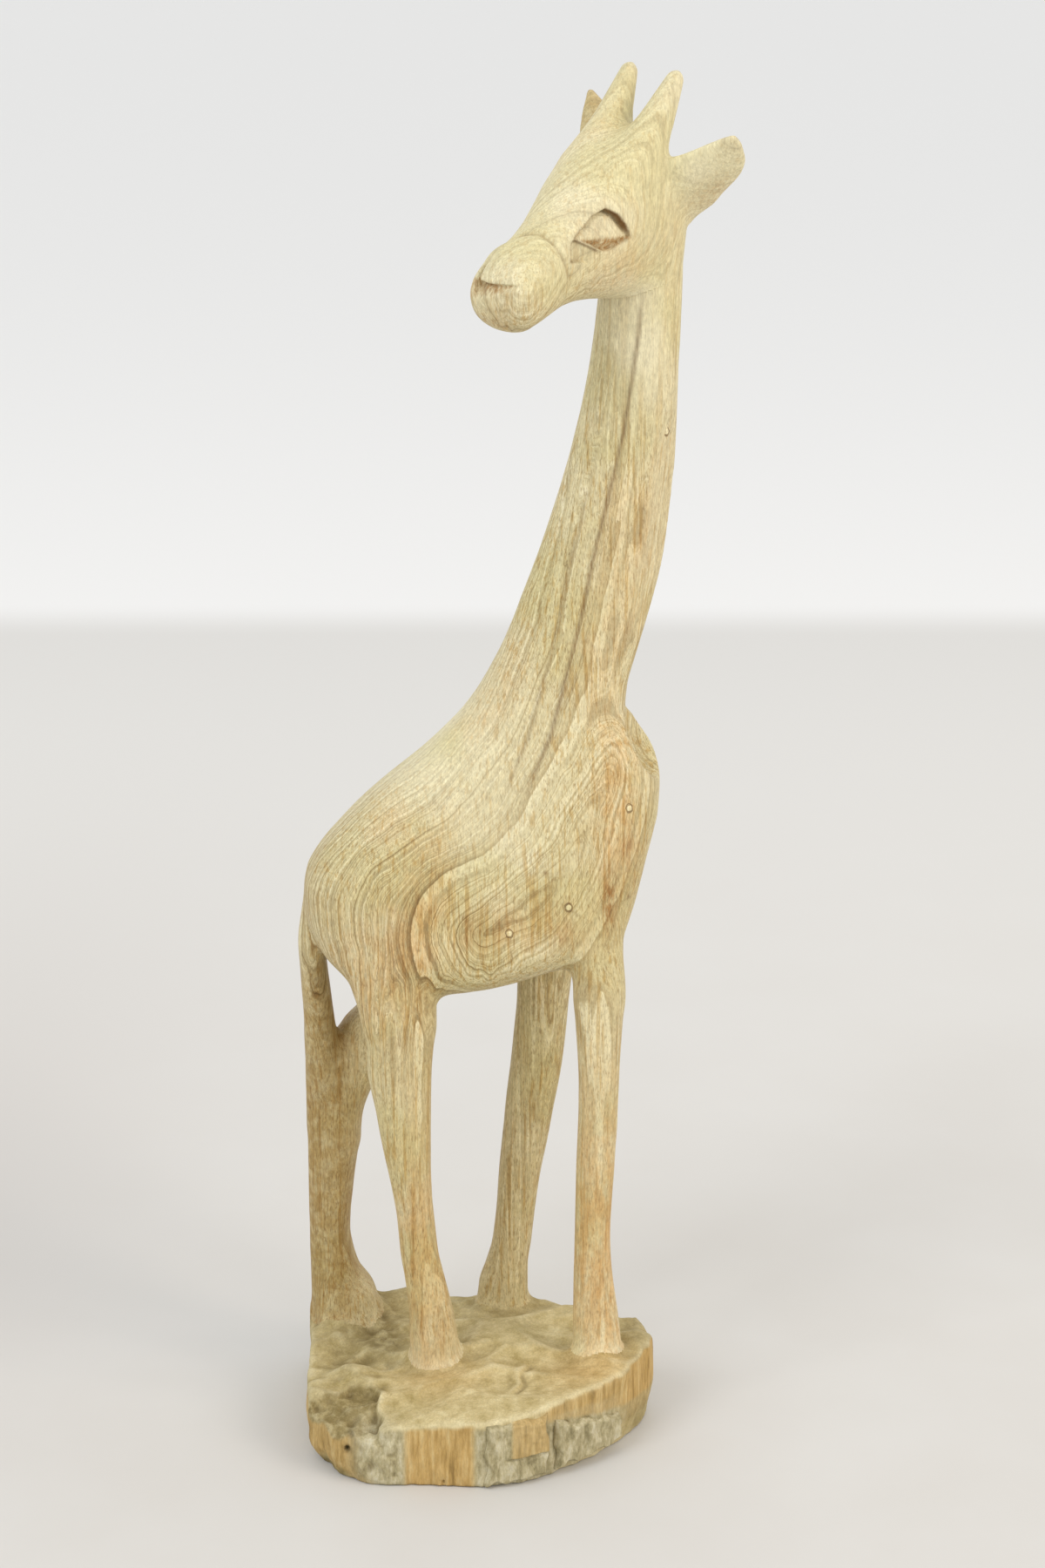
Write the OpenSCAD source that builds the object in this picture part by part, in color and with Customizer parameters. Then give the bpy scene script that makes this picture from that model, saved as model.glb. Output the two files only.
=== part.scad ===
// Carved giraffe statue, free standing on the end of its own billet.
// The whole figure is cut from one piece of pale hardwood, so the nodes
// are its carved regions, each one a closed solid that meets its
// neighbours face to face, and the separate bits of other material:
// the wax plugs in the insect holes and the strips of bark on the rim.
// Millimetres. Z is up, X is the way the body faces, the underside of
// the base is z = 0 and its middle is the origin.

/* [Base] */
// Length of the base along X
base_l = 80; // [67:1:96]
// Width of the base along Y
base_w = 63.5; // [53:0.5:76]
// Mean thickness of the base
base_h = 17; // [14:0.5:20]

/* [Body] */
// Height of the legs, from base to belly
leg_h = 84; // [70:1:101]
// Height of the trunk, from belly to root of neck
body_h = 64; // [53:1:77]
// Width of the trunk across the ribs
body_w = 36; // [30:0.5:43]
// Width of a leg at the knee
knee_w = 8.6; // [7.2:0.2:10.4]
// Height of the neck, from trunk to jaw
neck_h = 91; // [76:1:109]

/* [Head] */
// Turn of the head away from straight ahead, towards its right
head_turn = 44; // [36:1:53]
// Droop of the muzzle below level
head_droop = 20; // [10:1:24]
// Lean of the crown towards the right ear
head_lean = 6; // [2:1:8]
// Length of the head from nape to lips
head_l = 51; // [43:0.5:61]
// Length of an ear outside the skull
ear_l = 16; // [13:0.5:19]
// Length of a horn outside the skull
horn_l = 15; // [12:0.5:18]

/* [Small parts] */
// Width of a filled insect hole
plug_d = 1.6; // [1.3:0.1:1.9]
// Depth of a filled insect hole
plug_depth = 3; // [2.5:0.1:3.6]
// Thickness of the bark left on the rim
bark_t = 1; // [0.8:0.1:1.2]

/* [Hidden] */
mid = 9;
sides = 24;
fine = 3.5;
base_top = base_h;
belly_z = base_top + leg_h;
neck_z = belly_z + body_h;
jaw_z = neck_z + neck_h;

// ---- how the drawn heights and widths follow the driving sizes ----
function up(z) = lookup(z, [[0, 0], [17, base_top], [101, belly_z],
    [165, neck_z], [256, jaw_z], [356, jaw_z + 100]]);
function across(y) = mid + (y - mid) * body_w / 36;

// ---- drawn stations: height, back, front, right side, left side ----
// (the last number squares the ring off: 2 is an ellipse)
trunk = [
 [101, -21, -2, 2.5, 15.5, 2.2],
 [103, -27, 5, -2, 20, 2.3],
 [106, -31, 13, -6, 24, 2.5],
 [110, -34.5, 23, -8.2, 26.2, 2.8],
 [114, -36.5, 30, -9, 27, 3],
 [119, -38, 32.8, -9, 27, 3],
 [125, -38.4, 34.4, -9, 27, 2.9],
 [131, -36.6, 35.8, -8.6, 26.6, 2.8],
 [137, -32.2, 37.2, -7.8, 25.8, 2.8],
 [143, -26.6, 38.4, -6.9, 24.9, 2.7],
 [149, -20, 38.6, -5.9, 23.9, 2.6],
 [155, -12.8, 37.6, -4.9, 22.9, 2.5],
 [160, -7.6, 34.8, -4, 21.8, 2.4],
 [165, -3.2, 31, -3.3, 21, 2.3],
 [170, 0.2, 31.4, -2.6, 20.4, 2.2],
 [176, 3.4, 33, -1.9, 19.8, 2.2],
 [182, 6.2, 34.8, -1.2, 19.2, 2.2],
 [190, 9.2, 37, -0.5, 18.5, 2.2],
 [197, 11.8, 38.6, 0, 18, 2.2],
 [205, 14.5, 39.8, 0.3, 17.7, 2.2],
 [219, 18.7, 40.8, 0.8, 17.4, 2.2],
 [234, 22, 41.1, 1, 17.2, 2.2],
 [248, 24, 41.5, 0.8, 17.4, 2.2],
 [256, 24.8, 41.6, 0.5, 17, 2.2],
 [264, 26, 41.2, 0.5, 16, 2.2],
 [271, 27, 38.5, 1.5, 14, 2.2]];

right_hind = [
 [13, -17, -2.5, -10, 3],
 [20, -16.2, -5, -9, 1.5],
 [27, -16.2, -6.2, -8, 1],
 [35, -16.9, -7.9, -7.5, 0.8],
 [43, -18, -9.6, -7.5, 0.8],
 [52, -18.8, -10.5, -7.8, 1],
 [60, -20, -11, -8, 1.2],
 [69, -21.8, -11, -8.3, 1.6],
 [77, -23, -10.9, -8.6, 2.2],
 [85, -25, -10.7, -8.9, 3],
 [93, -28, -10, -9.1, 4],
 [101, -31, -8.6, -9, 5],
 [108, -32, -7, -7.8, 6],
 [116, -31, -8, -5, 7]];

right_front = [
 [13, 19, 33, -11, 1],
 [18, 20.5, 31.6, -9.5, 0],
 [24, 20.2, 30.7, -8.2, -0.5],
 [31, 20.2, 29.9, -7.4, -0.5],
 [39, 20.3, 28.9, -7, -0.3],
 [48, 20.5, 28.4, -7, 0],
 [64, 20.8, 29.3, -7.2, 0.6],
 [81, 21.2, 29.9, -7.5, 1.2],
 [97, 20.4, 30.6, -7.8, 2],
 [108, 19.4, 31.6, -7.6, 3],
 [118, 18, 29, -4, 5]];

left_front = [
 [13, -5, 12, 16, 28],
 [18, -3, 10.6, 17, 27],
 [25, -0.5, 10.2, 18, 26.4],
 [34, 2, 11.1, 18.3, 26.4],
 [43, 3, 12.1, 18.2, 26],
 [52, 3.6, 13.4, 18, 26],
 [60, 4.4, 15, 18, 26],
 [69, 5.2, 16.5, 17.6, 26],
 [77, 6.2, 17.9, 17, 26],
 [86, 7, 18.8, 16.6, 26],
 [94, 7.7, 19.5, 16, 26],
 [103, 8, 20.4, 15.4, 25.6],
 [112, 9, 20, 13.5, 23]];

left_thigh = [
 [64, -39, -27, 15.5, 27],
 [76, -37, -24, 15.5, 27],
 [83, -34, -20.5, 15.5, 27],
 [90, -31.4, -17, 15, 27],
 [97, -30, -14.5, 14.5, 26.5],
 [104, -29.5, -13, 13.5, 25.3],
 [112, -28, -12, 12, 23]];

left_heel = [
 [13, -40.2, -16, 9, 31],
 [18, -40, -21, 10.5, 30],
 [22, -39.8, -25, 12, 29],
 [29, -39.9, -29.2, 13.5, 28],
 [37, -39.9, -30.6, 14, 27.5],
 [46, -39.9, -29.9, 14, 27.5],
 [55, -39.9, -28.7, 14, 27.5],
 [64, -39.9, -26.8, 14, 27.5],
 [72, -40, -25, 14, 27.5],
 [79, -40.1, -25.5, 14, 27],
 [84, -40.2, -29.5, 14, 25.5]];

tail_strip = [
 [80, -39.8, -31.3, 13.5, 24],
 [85, -39.8, -32.2, 12, 21.5],
 [90, -39.7, -32.8, 11, 20.5],
 [98, -39.8, -33.4, 9, 18],
 [106, -40, -34, 7, 16],
 [114, -40.2, -34.2, 5.5, 14.5],
 [122, -39.8, -32.5, 5, 13],
 [130, -37, -29, 5, 13]];

// distance ahead of the skull, right and left, bottom and top
head_rows = [
 [-11, -5, 5, -8, 9],
 [-9.5, -8, 8, -12, 13],
 [-6, -10.8, 10.2, -15, 15.8],
 [0, -12.8, 11.2, -16.4, 16.6],
 [5, -13.2, 11.2, -16, 15.8],
 [10, -12.4, 10.6, -14.6, 13.8],
 [16, -10.4, 9.2, -12, 11.2],
 [22, -8.6, 8, -10, 8.8],
 [27, -8, 8, -9.2, 7.2],
 [32, -8.4, 8.4, -9, 6.2],
 [36, -8, 8, -8.6, 4.4],
 [38.6, -6.2, 6.2, -7, 1.8],
 [40, -3.6, 3.6, -4.6, -0.8]];

outline = [[-40, -5], [-38.8, -18.5], [-33, -27.5], [-24, -30.5],
 [-13, -31], [0, -32], [9, -30], [17, -26], [26, -20], [33, -13],
 [38.5, -4], [40, 3.5], [36, 10], [29, 14.5], [20, 21.5], [11, 27.5],
 [0, 30.5], [-12, 31.5], [-25, 31.5], [-35, 30.5], [-40, 27]];

// ---- smooth curve through one column of the stations ----
function gap(t, i) = t[i + 1][0] - t[i][0];
function rise(t, i, c) = (t[i + 1][c] - t[i][c]) / gap(t, i);
function lean(t, i, c) =
    i == 0 ? rise(t, 0, c) :
    i == len(t) - 1 ? rise(t, i - 1, c) :
    let (a = rise(t, i - 1, c), b = rise(t, i, c))
    a * b <= 0 ? 0 : 2 * a * b / (a + b);
function at(t, s, c) =
    let (hits = [for (k = [0:len(t) - 2]) if (s <= t[k + 1][0]) k],
         i = len(hits) == 0 ? len(t) - 2 : hits[0],
         h = gap(t, i), u = (s - t[i][0]) / h)
    (2 * u * u * u - 3 * u * u + 1) * t[i][c]
    + (u * u * u - 2 * u * u + u) * h * lean(t, i, c)
    + (3 * u * u - 2 * u * u * u) * t[i + 1][c]
    + (u * u * u - u * u) * h * lean(t, i + 1, c);

// ---- one rounded ring of a loft, squared off by n, or by the sixth
// number of the table when n is 0 ----
function soft(v, n) = sign(v) * pow(abs(v), 2 / n);
function ring(t, s, n, f) =
    let (a0 = at(t, s, 1), a1 = at(t, s, 2),
         b0 = at(t, s, 3), b1 = at(t, s, 4),
         m = n > 0 ? n : at(t, s, 5))
    [for (i = [0:sides - 1])
        let (q = (i + 0.5) * 360 / sides,
             a = (a0 + a1) / 2 + (a1 - a0) / 2 * soft(cos(q), m),
             b = (b0 + b1) / 2 + (b1 - b0) / 2 * soft(sin(q), m))
        f[0] + s * f[1] + a * f[2] + b * f[3]];

module slice(p, q) {
    m = len(p);
    hull() polyhedron(points = concat(p, q), faces = concat(
        [[for (i = [0:m - 1]) i]], [[for (i = [m - 1:-1:0]) m + i]],
        [for (i = [0:m - 1]) [i, m + i, m + (i + 1) % m, (i + 1) % m]]));
}
module loft(t, s0, s1, n, f, step) {
    m = ceil((s1 - s0) / step);
    for (i = [0:m - 1])
        slice(ring(t, s0 + (s1 - s0) * i / m, n, f),
              ring(t, s0 + (s1 - s0) * (i + 1) / m, n, f));
}

// upright tables, with the driving sizes let in
floor_up = [[0, 0, 0], [0, 0, 1], [1, 0, 0], [0, 1, 0]];
function grown(t) = [for (r = t)
    [up(r[0]), r[1], r[2], across(r[3]), across(r[4]), r[5]]];
function legs(t) = [for (r = t)
    let (x = (r[1] + r[2]) / 2, y = (r[3] + r[4]) / 2, k = knee_w / 8.6)
    [up(r[0]), x + (r[1] - x) * k, x + (r[2] - x) * k,
     across(y) + (r[3] - y) * k, across(y) + (r[4] - y) * k]];
trunk_t = grown(trunk);

module upright(t, z0, z1, n = 2.2, step = 5)
    loft(t, z0, z1, n, floor_up, step);

// ---- the head's own directions: ahead, to its right, to its crown ----
ahead0 = [-sin(head_turn) * cos(head_droop),
          -cos(head_turn) * cos(head_droop), -sin(head_droop)];
right0 = [cos(head_turn), -sin(head_turn), 0];
crown0 = cross(ahead0, right0);
rightward = right0 * cos(head_lean) - crown0 * sin(head_lean);
crown = crown0 * cos(head_lean) + right0 * sin(head_lean);
skull = [28.8, across(4), jaw_z + 13];
hk = head_l / 51;
head_f = [skull, ahead0, rightward, crown];
head_t = [for (r = head_rows) r * hk];
function in_head(u, v, w) =
    skull + (u * ahead0 + v * rightward + w * crown) * hk;
function unit(v) = v / norm(v);

// a local loft along the line from p towards q, flat side facing n
function line_f(p, q, n) =
    let (s = unit(q - p), b = unit(cross(s, n)))
    [p, s, cross(b, s), b];

horn_rows = [[0, -4.4, 4.4, -5, 5], [0.35, -3.6, 3.6, -3.9, 3.9],
 [0.7, -2.8, 2.8, -3, 3], [0.92, -2.3, 2.3, -2.4, 2.4],
 [1, -1.2, 1.2, -1.3, 1.3]];
ear_rows = [[0, -5.2, 5.2, -3, 3], [0.3, -6.4, 6.4, -2.5, 2.5],
 [0.5, -6.4, 6.4, -2.1, 2.1], [0.75, -5, 5, -1.6, 1.6],
 [0.92, -2.8, 2.8, -1.2, 1.2], [1, -1, 1, -0.6, 0.6]];
function along(t, l) = [for (r = t) [r[0] * l, r[1], r[2], r[3], r[4]]];

module horn(side) {
    p = in_head(-2.5, side * 6, 11);
    q = in_head(-15, side * 6 + 0.6, 24);
    l = horn_l + 4;
    loft(along(horn_rows, l), 0, l, 2.1, line_f(p, q, rightward), 2.4);
}
module ear(side) {
    p = in_head(-6, side * 7, side > 0 ? 2.5 : 4.5);
    q = in_head(-13, side * 18.5, side > 0 ? 9.5 : 16);
    l = ear_l + 4.5;
    loft(along(ear_rows, l), 0, l, 2,
         line_f(p, q, crown + 0.5 * ahead0), 2.4);
}

// ---- where the plugs sit: a point of the right flank and its normal --
function flank(x, z) =
    let (x0 = at(trunk_t, z, 1), x1 = at(trunk_t, z, 2),
         y0 = at(trunk_t, z, 3), y1 = at(trunk_t, z, 4),
         n = at(trunk_t, z, 5),
         k = min(0.98, abs(x - (x0 + x1) / 2) / ((x1 - x0) / 2)))
    (y0 + y1) / 2 - (y1 - y0) / 2 * pow(1 - pow(k, n), 1 / n);
module on_flank(x, z) {
    d = unit([flank(x + 1, z) - flank(x - 1, z), -2,
              flank(x, z + 1) - flank(x, z - 1)]);
    translate([x, flank(x, z), z])
        rotate([0, acos(d[2]), atan2(d[1], d[0])]) children();
}
module plug() {
    translate([0, 0, -plug_depth])
        cylinder(h = plug_depth + 0.1, d = plug_d, $fn = 10);
}
module socket() {
    translate([0, 0, -plug_depth])
        cylinder(h = plug_depth + 2, d = plug_d, $fn = 10);
}
shoulder_at = [31.6, up(145.5)];
ribs_at = [18.8, up(125)];
belly_at = [6.2, up(119.6)];
neck_at = [39, up(224.4)];

// ---- base: split and chiselled end of the billet ----
module rim(grow = 0) {
    k = [(base_l + 2 * grow) / 80, (base_w + 2 * grow) / 63.5];
    polygon([for (p = outline) [p[0] * k[0], p[1] * k[1]]]);
}
// everything above a plane through p that falls away along d
module chisel(p, tilt, turn)
    translate(p) rotate([0, 0, turn]) rotate([0, tilt, 0])
        translate([-70, -70, 0]) cube([140, 140, 40]);
module block() {
    difference() {
        linear_extrude(height = base_top + 5) rim();
        chisel([2, 0, base_top + 0.5], -3.2, 0);
        chisel([-14, -20, base_top - 2.4], -9, 62);
        chisel([-38, -10, base_top - 3], -24, 20);
        chisel([34, 0, base_top + 3], 22, 8);
        chisel([-10, 26, base_top], -14, 262);
        chisel([24, -16, base_top + 2.6], 16, -38);
    }
}

// ---- bark left on the rim, between two heights and two lines ----
module bark(x0, x1, y0, y1, z0, z1) {
    difference() {
        translate([x0, y0, z0]) cube([x1 - x0, y1 - y0, z1 - z0]);
        translate([0, 0, -1]) linear_extrude(height = 40) rim();
        difference() {
            translate([-70, -70, -2]) cube([140, 140, 44]);
            translate([0, 0, -3]) linear_extrude(height = 46) rim(bark_t);
        }
    }
}

module base_block() { color("#b99a6b") block(); }
module bark_front() {
    color("#a9a59a") bark(2, 19, -60, -10, 1.5, base_top - 2.5);
}
module bark_right() {
    color("#a9a59a") bark(20, 37, -60, -8, 2.5, base_top + 0.5);
}

module trunk_body() { upright(trunk_t, up(101), neck_z, 0, fine); }
module neck_body() { upright(trunk_t, neck_z, jaw_z, 0); }
module hollow_chest()
    translate([38.5, mid + 1.5, neck_z - 3]) scale([1, 1.15, 1.9])
        sphere(d = 12, $fn = 24);

module torso() {
    color("#cdb987") difference() {
        trunk_body();
        hollow_chest();
        on_flank(shoulder_at[0], shoulder_at[1]) socket();
        on_flank(ribs_at[0], ribs_at[1]) socket();
        on_flank(belly_at[0], belly_at[1]) socket();
    }
}
module neck() {
    color("#c9b683") difference() {
        neck_body();
        hollow_chest();
        on_flank(neck_at[0], neck_at[1]) socket();
    }
}
module skull_body() {
    loft(head_t, head_t[0][0], head_t[len(head_t) - 1][0], 2.2,
         head_f, 3.2);
    upright(trunk_t, jaw_z, up(270), 0);
}
// a shallow V cut across the head, from p to q, facing out along n
module vee(p, q, n, wide, deep) {
    f = line_f(p, q, n);
    l = norm(q - p);
    pts = [for (s = [0, l]) for (c = [[-1, 1], [1, 1], [0, -1]])
        p + s * f[1] + c[0] * wide / 2 * f[3] + c[1] * deep * f[2]];
    hull() polyhedron(points = pts, faces = [[0, 1, 2], [5, 4, 3],
        [0, 3, 4, 1], [1, 4, 5, 2], [2, 5, 3, 0]]);
}
module face_cuts() {
    // parting of the lips, straight across the end of the muzzle
    vee(in_head(38.6, -5.5, -3), in_head(38.6, 6, -2.6), ahead0, 1.2, 2);
    // upper and lower lids on each side
    for (v = [-1, 1]) {
        vee(in_head(3, v * 11.2, 3), in_head(9, v * 10.6, 7.4),
            v * rightward, 1, 1.1);
        vee(in_head(9, v * 10.6, 7.4), in_head(14.5, v * 9.4, 2.6),
            v * rightward, 1, 1.1);
        vee(in_head(3, v * 11.2, 3), in_head(14.5, v * 9.4, 2.6),
            v * rightward, 0.8, 0.9);
    }
}
module head() {
    color("#cfbd8e") difference() {
        skull_body();
        neck_body();
        face_cuts();
    }
}

module left_ear() { color("#cbb888") difference() { ear(-1); skull_body(); horn(-1); } }
module right_ear() { color("#cbb888") difference() { ear(1); skull_body(); horn(1); } }
module left_horn() { color("#cbb888") difference() { horn(-1); skull_body(); } }
module right_horn() { color("#cbb888") difference() { horn(1); skull_body(); } }

module right_front_leg() {
    color("#c4a877") difference() {
        upright(legs(right_front), up(13), up(118));
        trunk_body();
        block();
    }
}
module right_hind_leg() {
    color("#c8b07d") difference() {
        upright(legs(right_hind), up(13), up(116));
        trunk_body();
        block();
    }
}
module left_front_leg() {
    color("#b3a46f") difference() {
        upright(legs(left_front), up(13), up(112));
        trunk_body();
        block();
    }
}
module hind_column() {
    upright(legs(left_thigh), up(64), up(112));
    upright(grown(left_heel), up(13), up(84));
}
module left_hind_leg() {
    color("#b0976a") difference() {
        hind_column();
        trunk_body();
        block();
    }
}
module tail() {
    color("#b0976a") difference() {
        upright(grown(tail_strip), up(80), up(130));
        trunk_body();
        hind_column();
    }
}
module plug_shoulder() {
    color("#e2d3a4") on_flank(shoulder_at[0], shoulder_at[1]) plug();
}
module plug_ribs() { color("#e2d3a4") on_flank(ribs_at[0], ribs_at[1]) plug(); }
module plug_belly() { color("#e2d3a4") on_flank(belly_at[0], belly_at[1]) plug(); }
module plug_neck() { color("#e2d3a4") on_flank(neck_at[0], neck_at[1]) plug(); }

base_block();
bark_front();
bark_right();
torso();
neck();
head();
left_ear();
right_ear();
left_horn();
right_horn();
left_front_leg();
right_front_leg();
left_hind_leg();
right_hind_leg();
tail();
plug_shoulder();
plug_ribs();
plug_belly();
plug_neck();
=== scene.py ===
# A giraffe whittled from one billet of pale hardwood, rasped, sanded and
# waxed, standing on the rough end of the same billet.
#
# The skin of the whole carving is one solid shape: a field that is
# negative inside the wood, built from rounded lofts that run through the
# rings of the construction model, melted into each other the way a rasp
# melts a leg into a belly.  The skin is then parted into one closed piece
# for each carved region, so every piece stands for its own node.
# Lengths are millimetres until a mesh is made.
import math

import bpy
import numpy as np
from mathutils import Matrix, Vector


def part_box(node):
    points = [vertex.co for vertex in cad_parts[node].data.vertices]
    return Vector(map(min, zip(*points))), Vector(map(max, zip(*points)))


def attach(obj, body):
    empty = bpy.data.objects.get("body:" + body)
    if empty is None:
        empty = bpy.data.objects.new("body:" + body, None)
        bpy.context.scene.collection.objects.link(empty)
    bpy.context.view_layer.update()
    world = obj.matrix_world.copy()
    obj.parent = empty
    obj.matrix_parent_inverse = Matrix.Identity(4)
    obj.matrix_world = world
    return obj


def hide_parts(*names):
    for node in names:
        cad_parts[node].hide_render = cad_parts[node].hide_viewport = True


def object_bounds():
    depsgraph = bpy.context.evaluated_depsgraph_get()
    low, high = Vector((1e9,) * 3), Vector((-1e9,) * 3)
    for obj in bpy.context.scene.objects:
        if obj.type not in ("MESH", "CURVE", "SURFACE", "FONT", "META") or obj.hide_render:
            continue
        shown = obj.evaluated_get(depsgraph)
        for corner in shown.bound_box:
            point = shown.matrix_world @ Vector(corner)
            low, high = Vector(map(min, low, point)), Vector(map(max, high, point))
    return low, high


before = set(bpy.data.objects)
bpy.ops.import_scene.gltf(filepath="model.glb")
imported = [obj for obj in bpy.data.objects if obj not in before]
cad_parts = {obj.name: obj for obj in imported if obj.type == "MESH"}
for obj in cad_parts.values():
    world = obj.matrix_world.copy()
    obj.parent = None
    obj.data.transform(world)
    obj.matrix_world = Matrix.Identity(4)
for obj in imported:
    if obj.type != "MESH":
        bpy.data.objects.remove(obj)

cad_lo, cad_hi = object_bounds()
MM = 0.001
FINE = 0.5          # grid of the body's skin
FINER = 0.34        # grid of the head's skin
EIGHT = [(i, j, k) for i in (0, 1) for j in (0, 1) for k in (0, 1)]       # corners of a cell

# ------------------------------------------------------------- frame --

def corners(node):
    """Every corner of a construction node, in millimetres."""
    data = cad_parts[node].data
    v = np.empty(len(data.vertices) * 3, np.float32)
    data.vertices.foreach_get("co", v)
    return v.reshape(-1, 3).astype(float) / MM


def rings(node, least=24):
    """The level rings of a loft: height, back, front, right and left.
    A ring is symmetric about its middle, so its front is found from its
    back and its middle even where something has been cut out of it."""
    p = np.unique(np.round(corners(node), 2), axis=0)
    p = p[np.argsort(p[:, 2])]
    cuts = np.flatnonzero(np.diff(p[:, 2]) > 0.04) + 1
    rows = []
    for g in np.split(p, cuts):
        if len(g) < least:
            continue
        hi, lo = g[:, 1].max(), g[:, 1].min()
        mid = g[g[:, 1] > hi - 0.03, 0].mean()
        back = g[:, 0].min()
        rows.append([g[:, 2].mean(), back, 2 * mid - back, lo, hi])
    return np.array(rows)


def reach(rows, z, da=0.0, db=0.0, size=1.0):
    """One more ring past the end of a table, moved and resized."""
    end = rows[-1] if z > rows[-1][0] else rows[0]
    ca, cb = (end[1] + end[2]) / 2 + da, (end[3] + end[4]) / 2 + db
    ra, rb = (end[2] - end[1]) / 2 * size, (end[4] - end[3]) / 2 * size
    row = [z, ca - ra, ca + ra, cb - rb, cb + rb]
    return np.vstack([rows, row] if z > rows[-1][0] else [row, rows])


def unit(v):
    """The vector over its own length."""
    v = np.asarray(v, float)
    return v / np.linalg.norm(v)


# ------------------------------------------------------------- field --

def ease(x, a, b):
    """0 below a, 1 above b, and a smooth S between."""
    t = np.clip((x - a) / (b - a), 0, 1)
    return t * t * (3 - 2 * t)


def melt(a, b, k):
    """The lesser of two fields, with a fillet of about k between."""
    h = np.maximum(k - np.abs(a - b), 0) / k
    return np.minimum(a, b) - h * h * h * (k / 6)


def carve(a, b, k):
    """Field a with field b taken out of it, the lip eased by k."""
    return -melt(-a, b, k)


def along(table, s):
    """Smooth columns of a station table at s: cubics whose slopes are
    the harmonic means of the chords, so nothing overshoots."""
    x, y = table[:, 0], table[:, 1:]
    d = np.diff(y, axis=0) / np.diff(x)[:, None]
    a, b = d[:-1], d[1:]
    mean = np.where(a * b > 0, 2 * a * b / np.where(a + b == 0, 1, a + b), 0)
    m = np.vstack([d[:1], mean, d[-1:]])
    s = np.clip(s, x[0], x[-1])
    i = np.clip(np.searchsorted(x, s, side="right") - 1, 0, len(x) - 2)
    h = (x[i + 1] - x[i])[:, None]
    t = (s[:, None] - x[i][:, None]) / h
    return ((2 * t**3 - 3 * t**2 + 1) * y[i] + (t**3 - 2 * t**2 + t) * h * m[i]
            + (3 * t**2 - 2 * t**3) * y[i + 1] + (t**3 - t**2) * h * m[i + 1])


WORLD = (np.zeros(3), np.array([[0, 0, 1], [1, 0, 0], [0, 1, 0]], float))


def local(P, frame_):
    """Coordinates in a turned frame: the offset dotted with each axis."""
    o, A = frame_
    return [sum((P[i] - o[i]) * A[k][i] for i in range(3)) for k in range(3)]


def loft(P, table, at=WORLD, n=2.2, cap=1.5):
    """Rough distance to a loft: rings |a/ra|^n + |b/rb|^n = 1 whose
    middles and radii follow the table, its ends rounded by cap."""
    S, A, B = local(P, at)
    fine = np.linspace(table[0, 0], table[-1, 0], 500)
    col = along(table, fine)
    c = [np.interp(S, fine, col[:, i]).astype(np.float32) for i in range(4)]
    n_ = np.interp(S, n[0], n[1]).astype(np.float32) if isinstance(n, tuple) else n
    ra, rb = np.maximum((c[1] - c[0]) / 2, 0.05), np.maximum((c[3] - c[2]) / 2, 0.05)
    x = np.abs(A - (c[0] + c[1]) / 2) / ra + 1e-5
    y = np.abs(B - (c[2] + c[3]) / 2) / rb + 1e-5
    rho = (x**n_ + y**n_) ** (1 / n_)
    g = rho ** (1 - n_) * np.sqrt((x ** (n_ - 1) / ra) ** 2 + (y ** (n_ - 1) / rb) ** 2)
    d = (rho - 1) / np.maximum(g, 1e-3)
    e = np.abs(S - (table[0, 0] + table[-1, 0]) / 2) - (table[-1, 0] - table[0, 0]) / 2
    u, v = np.maximum(cap + d, 0), np.maximum(cap + e, 0)
    return (np.minimum(-cap, np.maximum(d, e)) + np.sqrt(u * u + v * v)).astype(np.float32)


def blob(P, middle, radii, at=WORLD):
    """Rough distance to an ellipsoid."""
    q = local(P, at) if at is not WORLD else P
    q = [q[i] - middle[i] for i in range(3)]
    k0 = np.sqrt(sum((q[i] / radii[i]) ** 2 for i in range(3)))
    k1 = np.sqrt(sum((q[i] / radii[i] ** 2) ** 2 for i in range(3)))
    return (k0 * (k0 - 1) / np.maximum(k1, 1e-4)).astype(np.float32)


def within(X, Y, pts):
    """Distance to a closed outline in a plane, negative inside."""
    d = np.full(np.broadcast(X, Y).shape, 1e9, np.float32)
    inside = np.zeros(d.shape, bool)
    for (x1, y1), (x2, y2) in zip(pts, np.roll(pts, -1, 0)):
        ex, ey = x2 - x1, y2 - y1
        t = np.clip(((X - x1) * ex + (Y - y1) * ey) / (ex * ex + ey * ey), 0, 1)
        d = np.minimum(d, np.hypot(X - x1 - t * ex, Y - y1 - t * ey))
        inside ^= ((y1 > Y) != (y2 > Y)) & (X < (x2 - x1) * (Y - y1) / (y2 - y1 + 1e-9) + x1)
    return np.where(inside, -d, d)


def lumps(P, size, seed=0):
    """Smooth value noise from -1 to 1: a hashed value at each corner of
    a lattice of that size, eased between corners."""
    size = np.broadcast_to(size, 3)
    q = [np.asarray(P[i], float) / size[i] + 31.7 * seed for i in range(3)]
    i = [np.floor(c).astype(np.int64) for c in q]
    t = [c - f for c, f in zip(q, i)]
    t = [c * c * (3 - 2 * c) for c in t]
    out = 0.0
    for a, b, c in EIGHT:
        h = ((i[0] + a) * 73856093) ^ ((i[1] + b) * 19349663) ^ ((i[2] + c) * 83492791) ^ (seed * 2654435761)
        h = (h ^ (h >> 13)) * 1274126177 & 0xFFFFFFFF
        h = (h ^ (h >> 16)) * 2246822519 & 0xFFFFFFFF
        w = (t[0] if a else 1 - t[0]) * (t[1] if b else 1 - t[1]) * (t[2] if c else 1 - t[2])
        out = out + w * (h / 2147483648.0 - 1)
    return out


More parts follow.
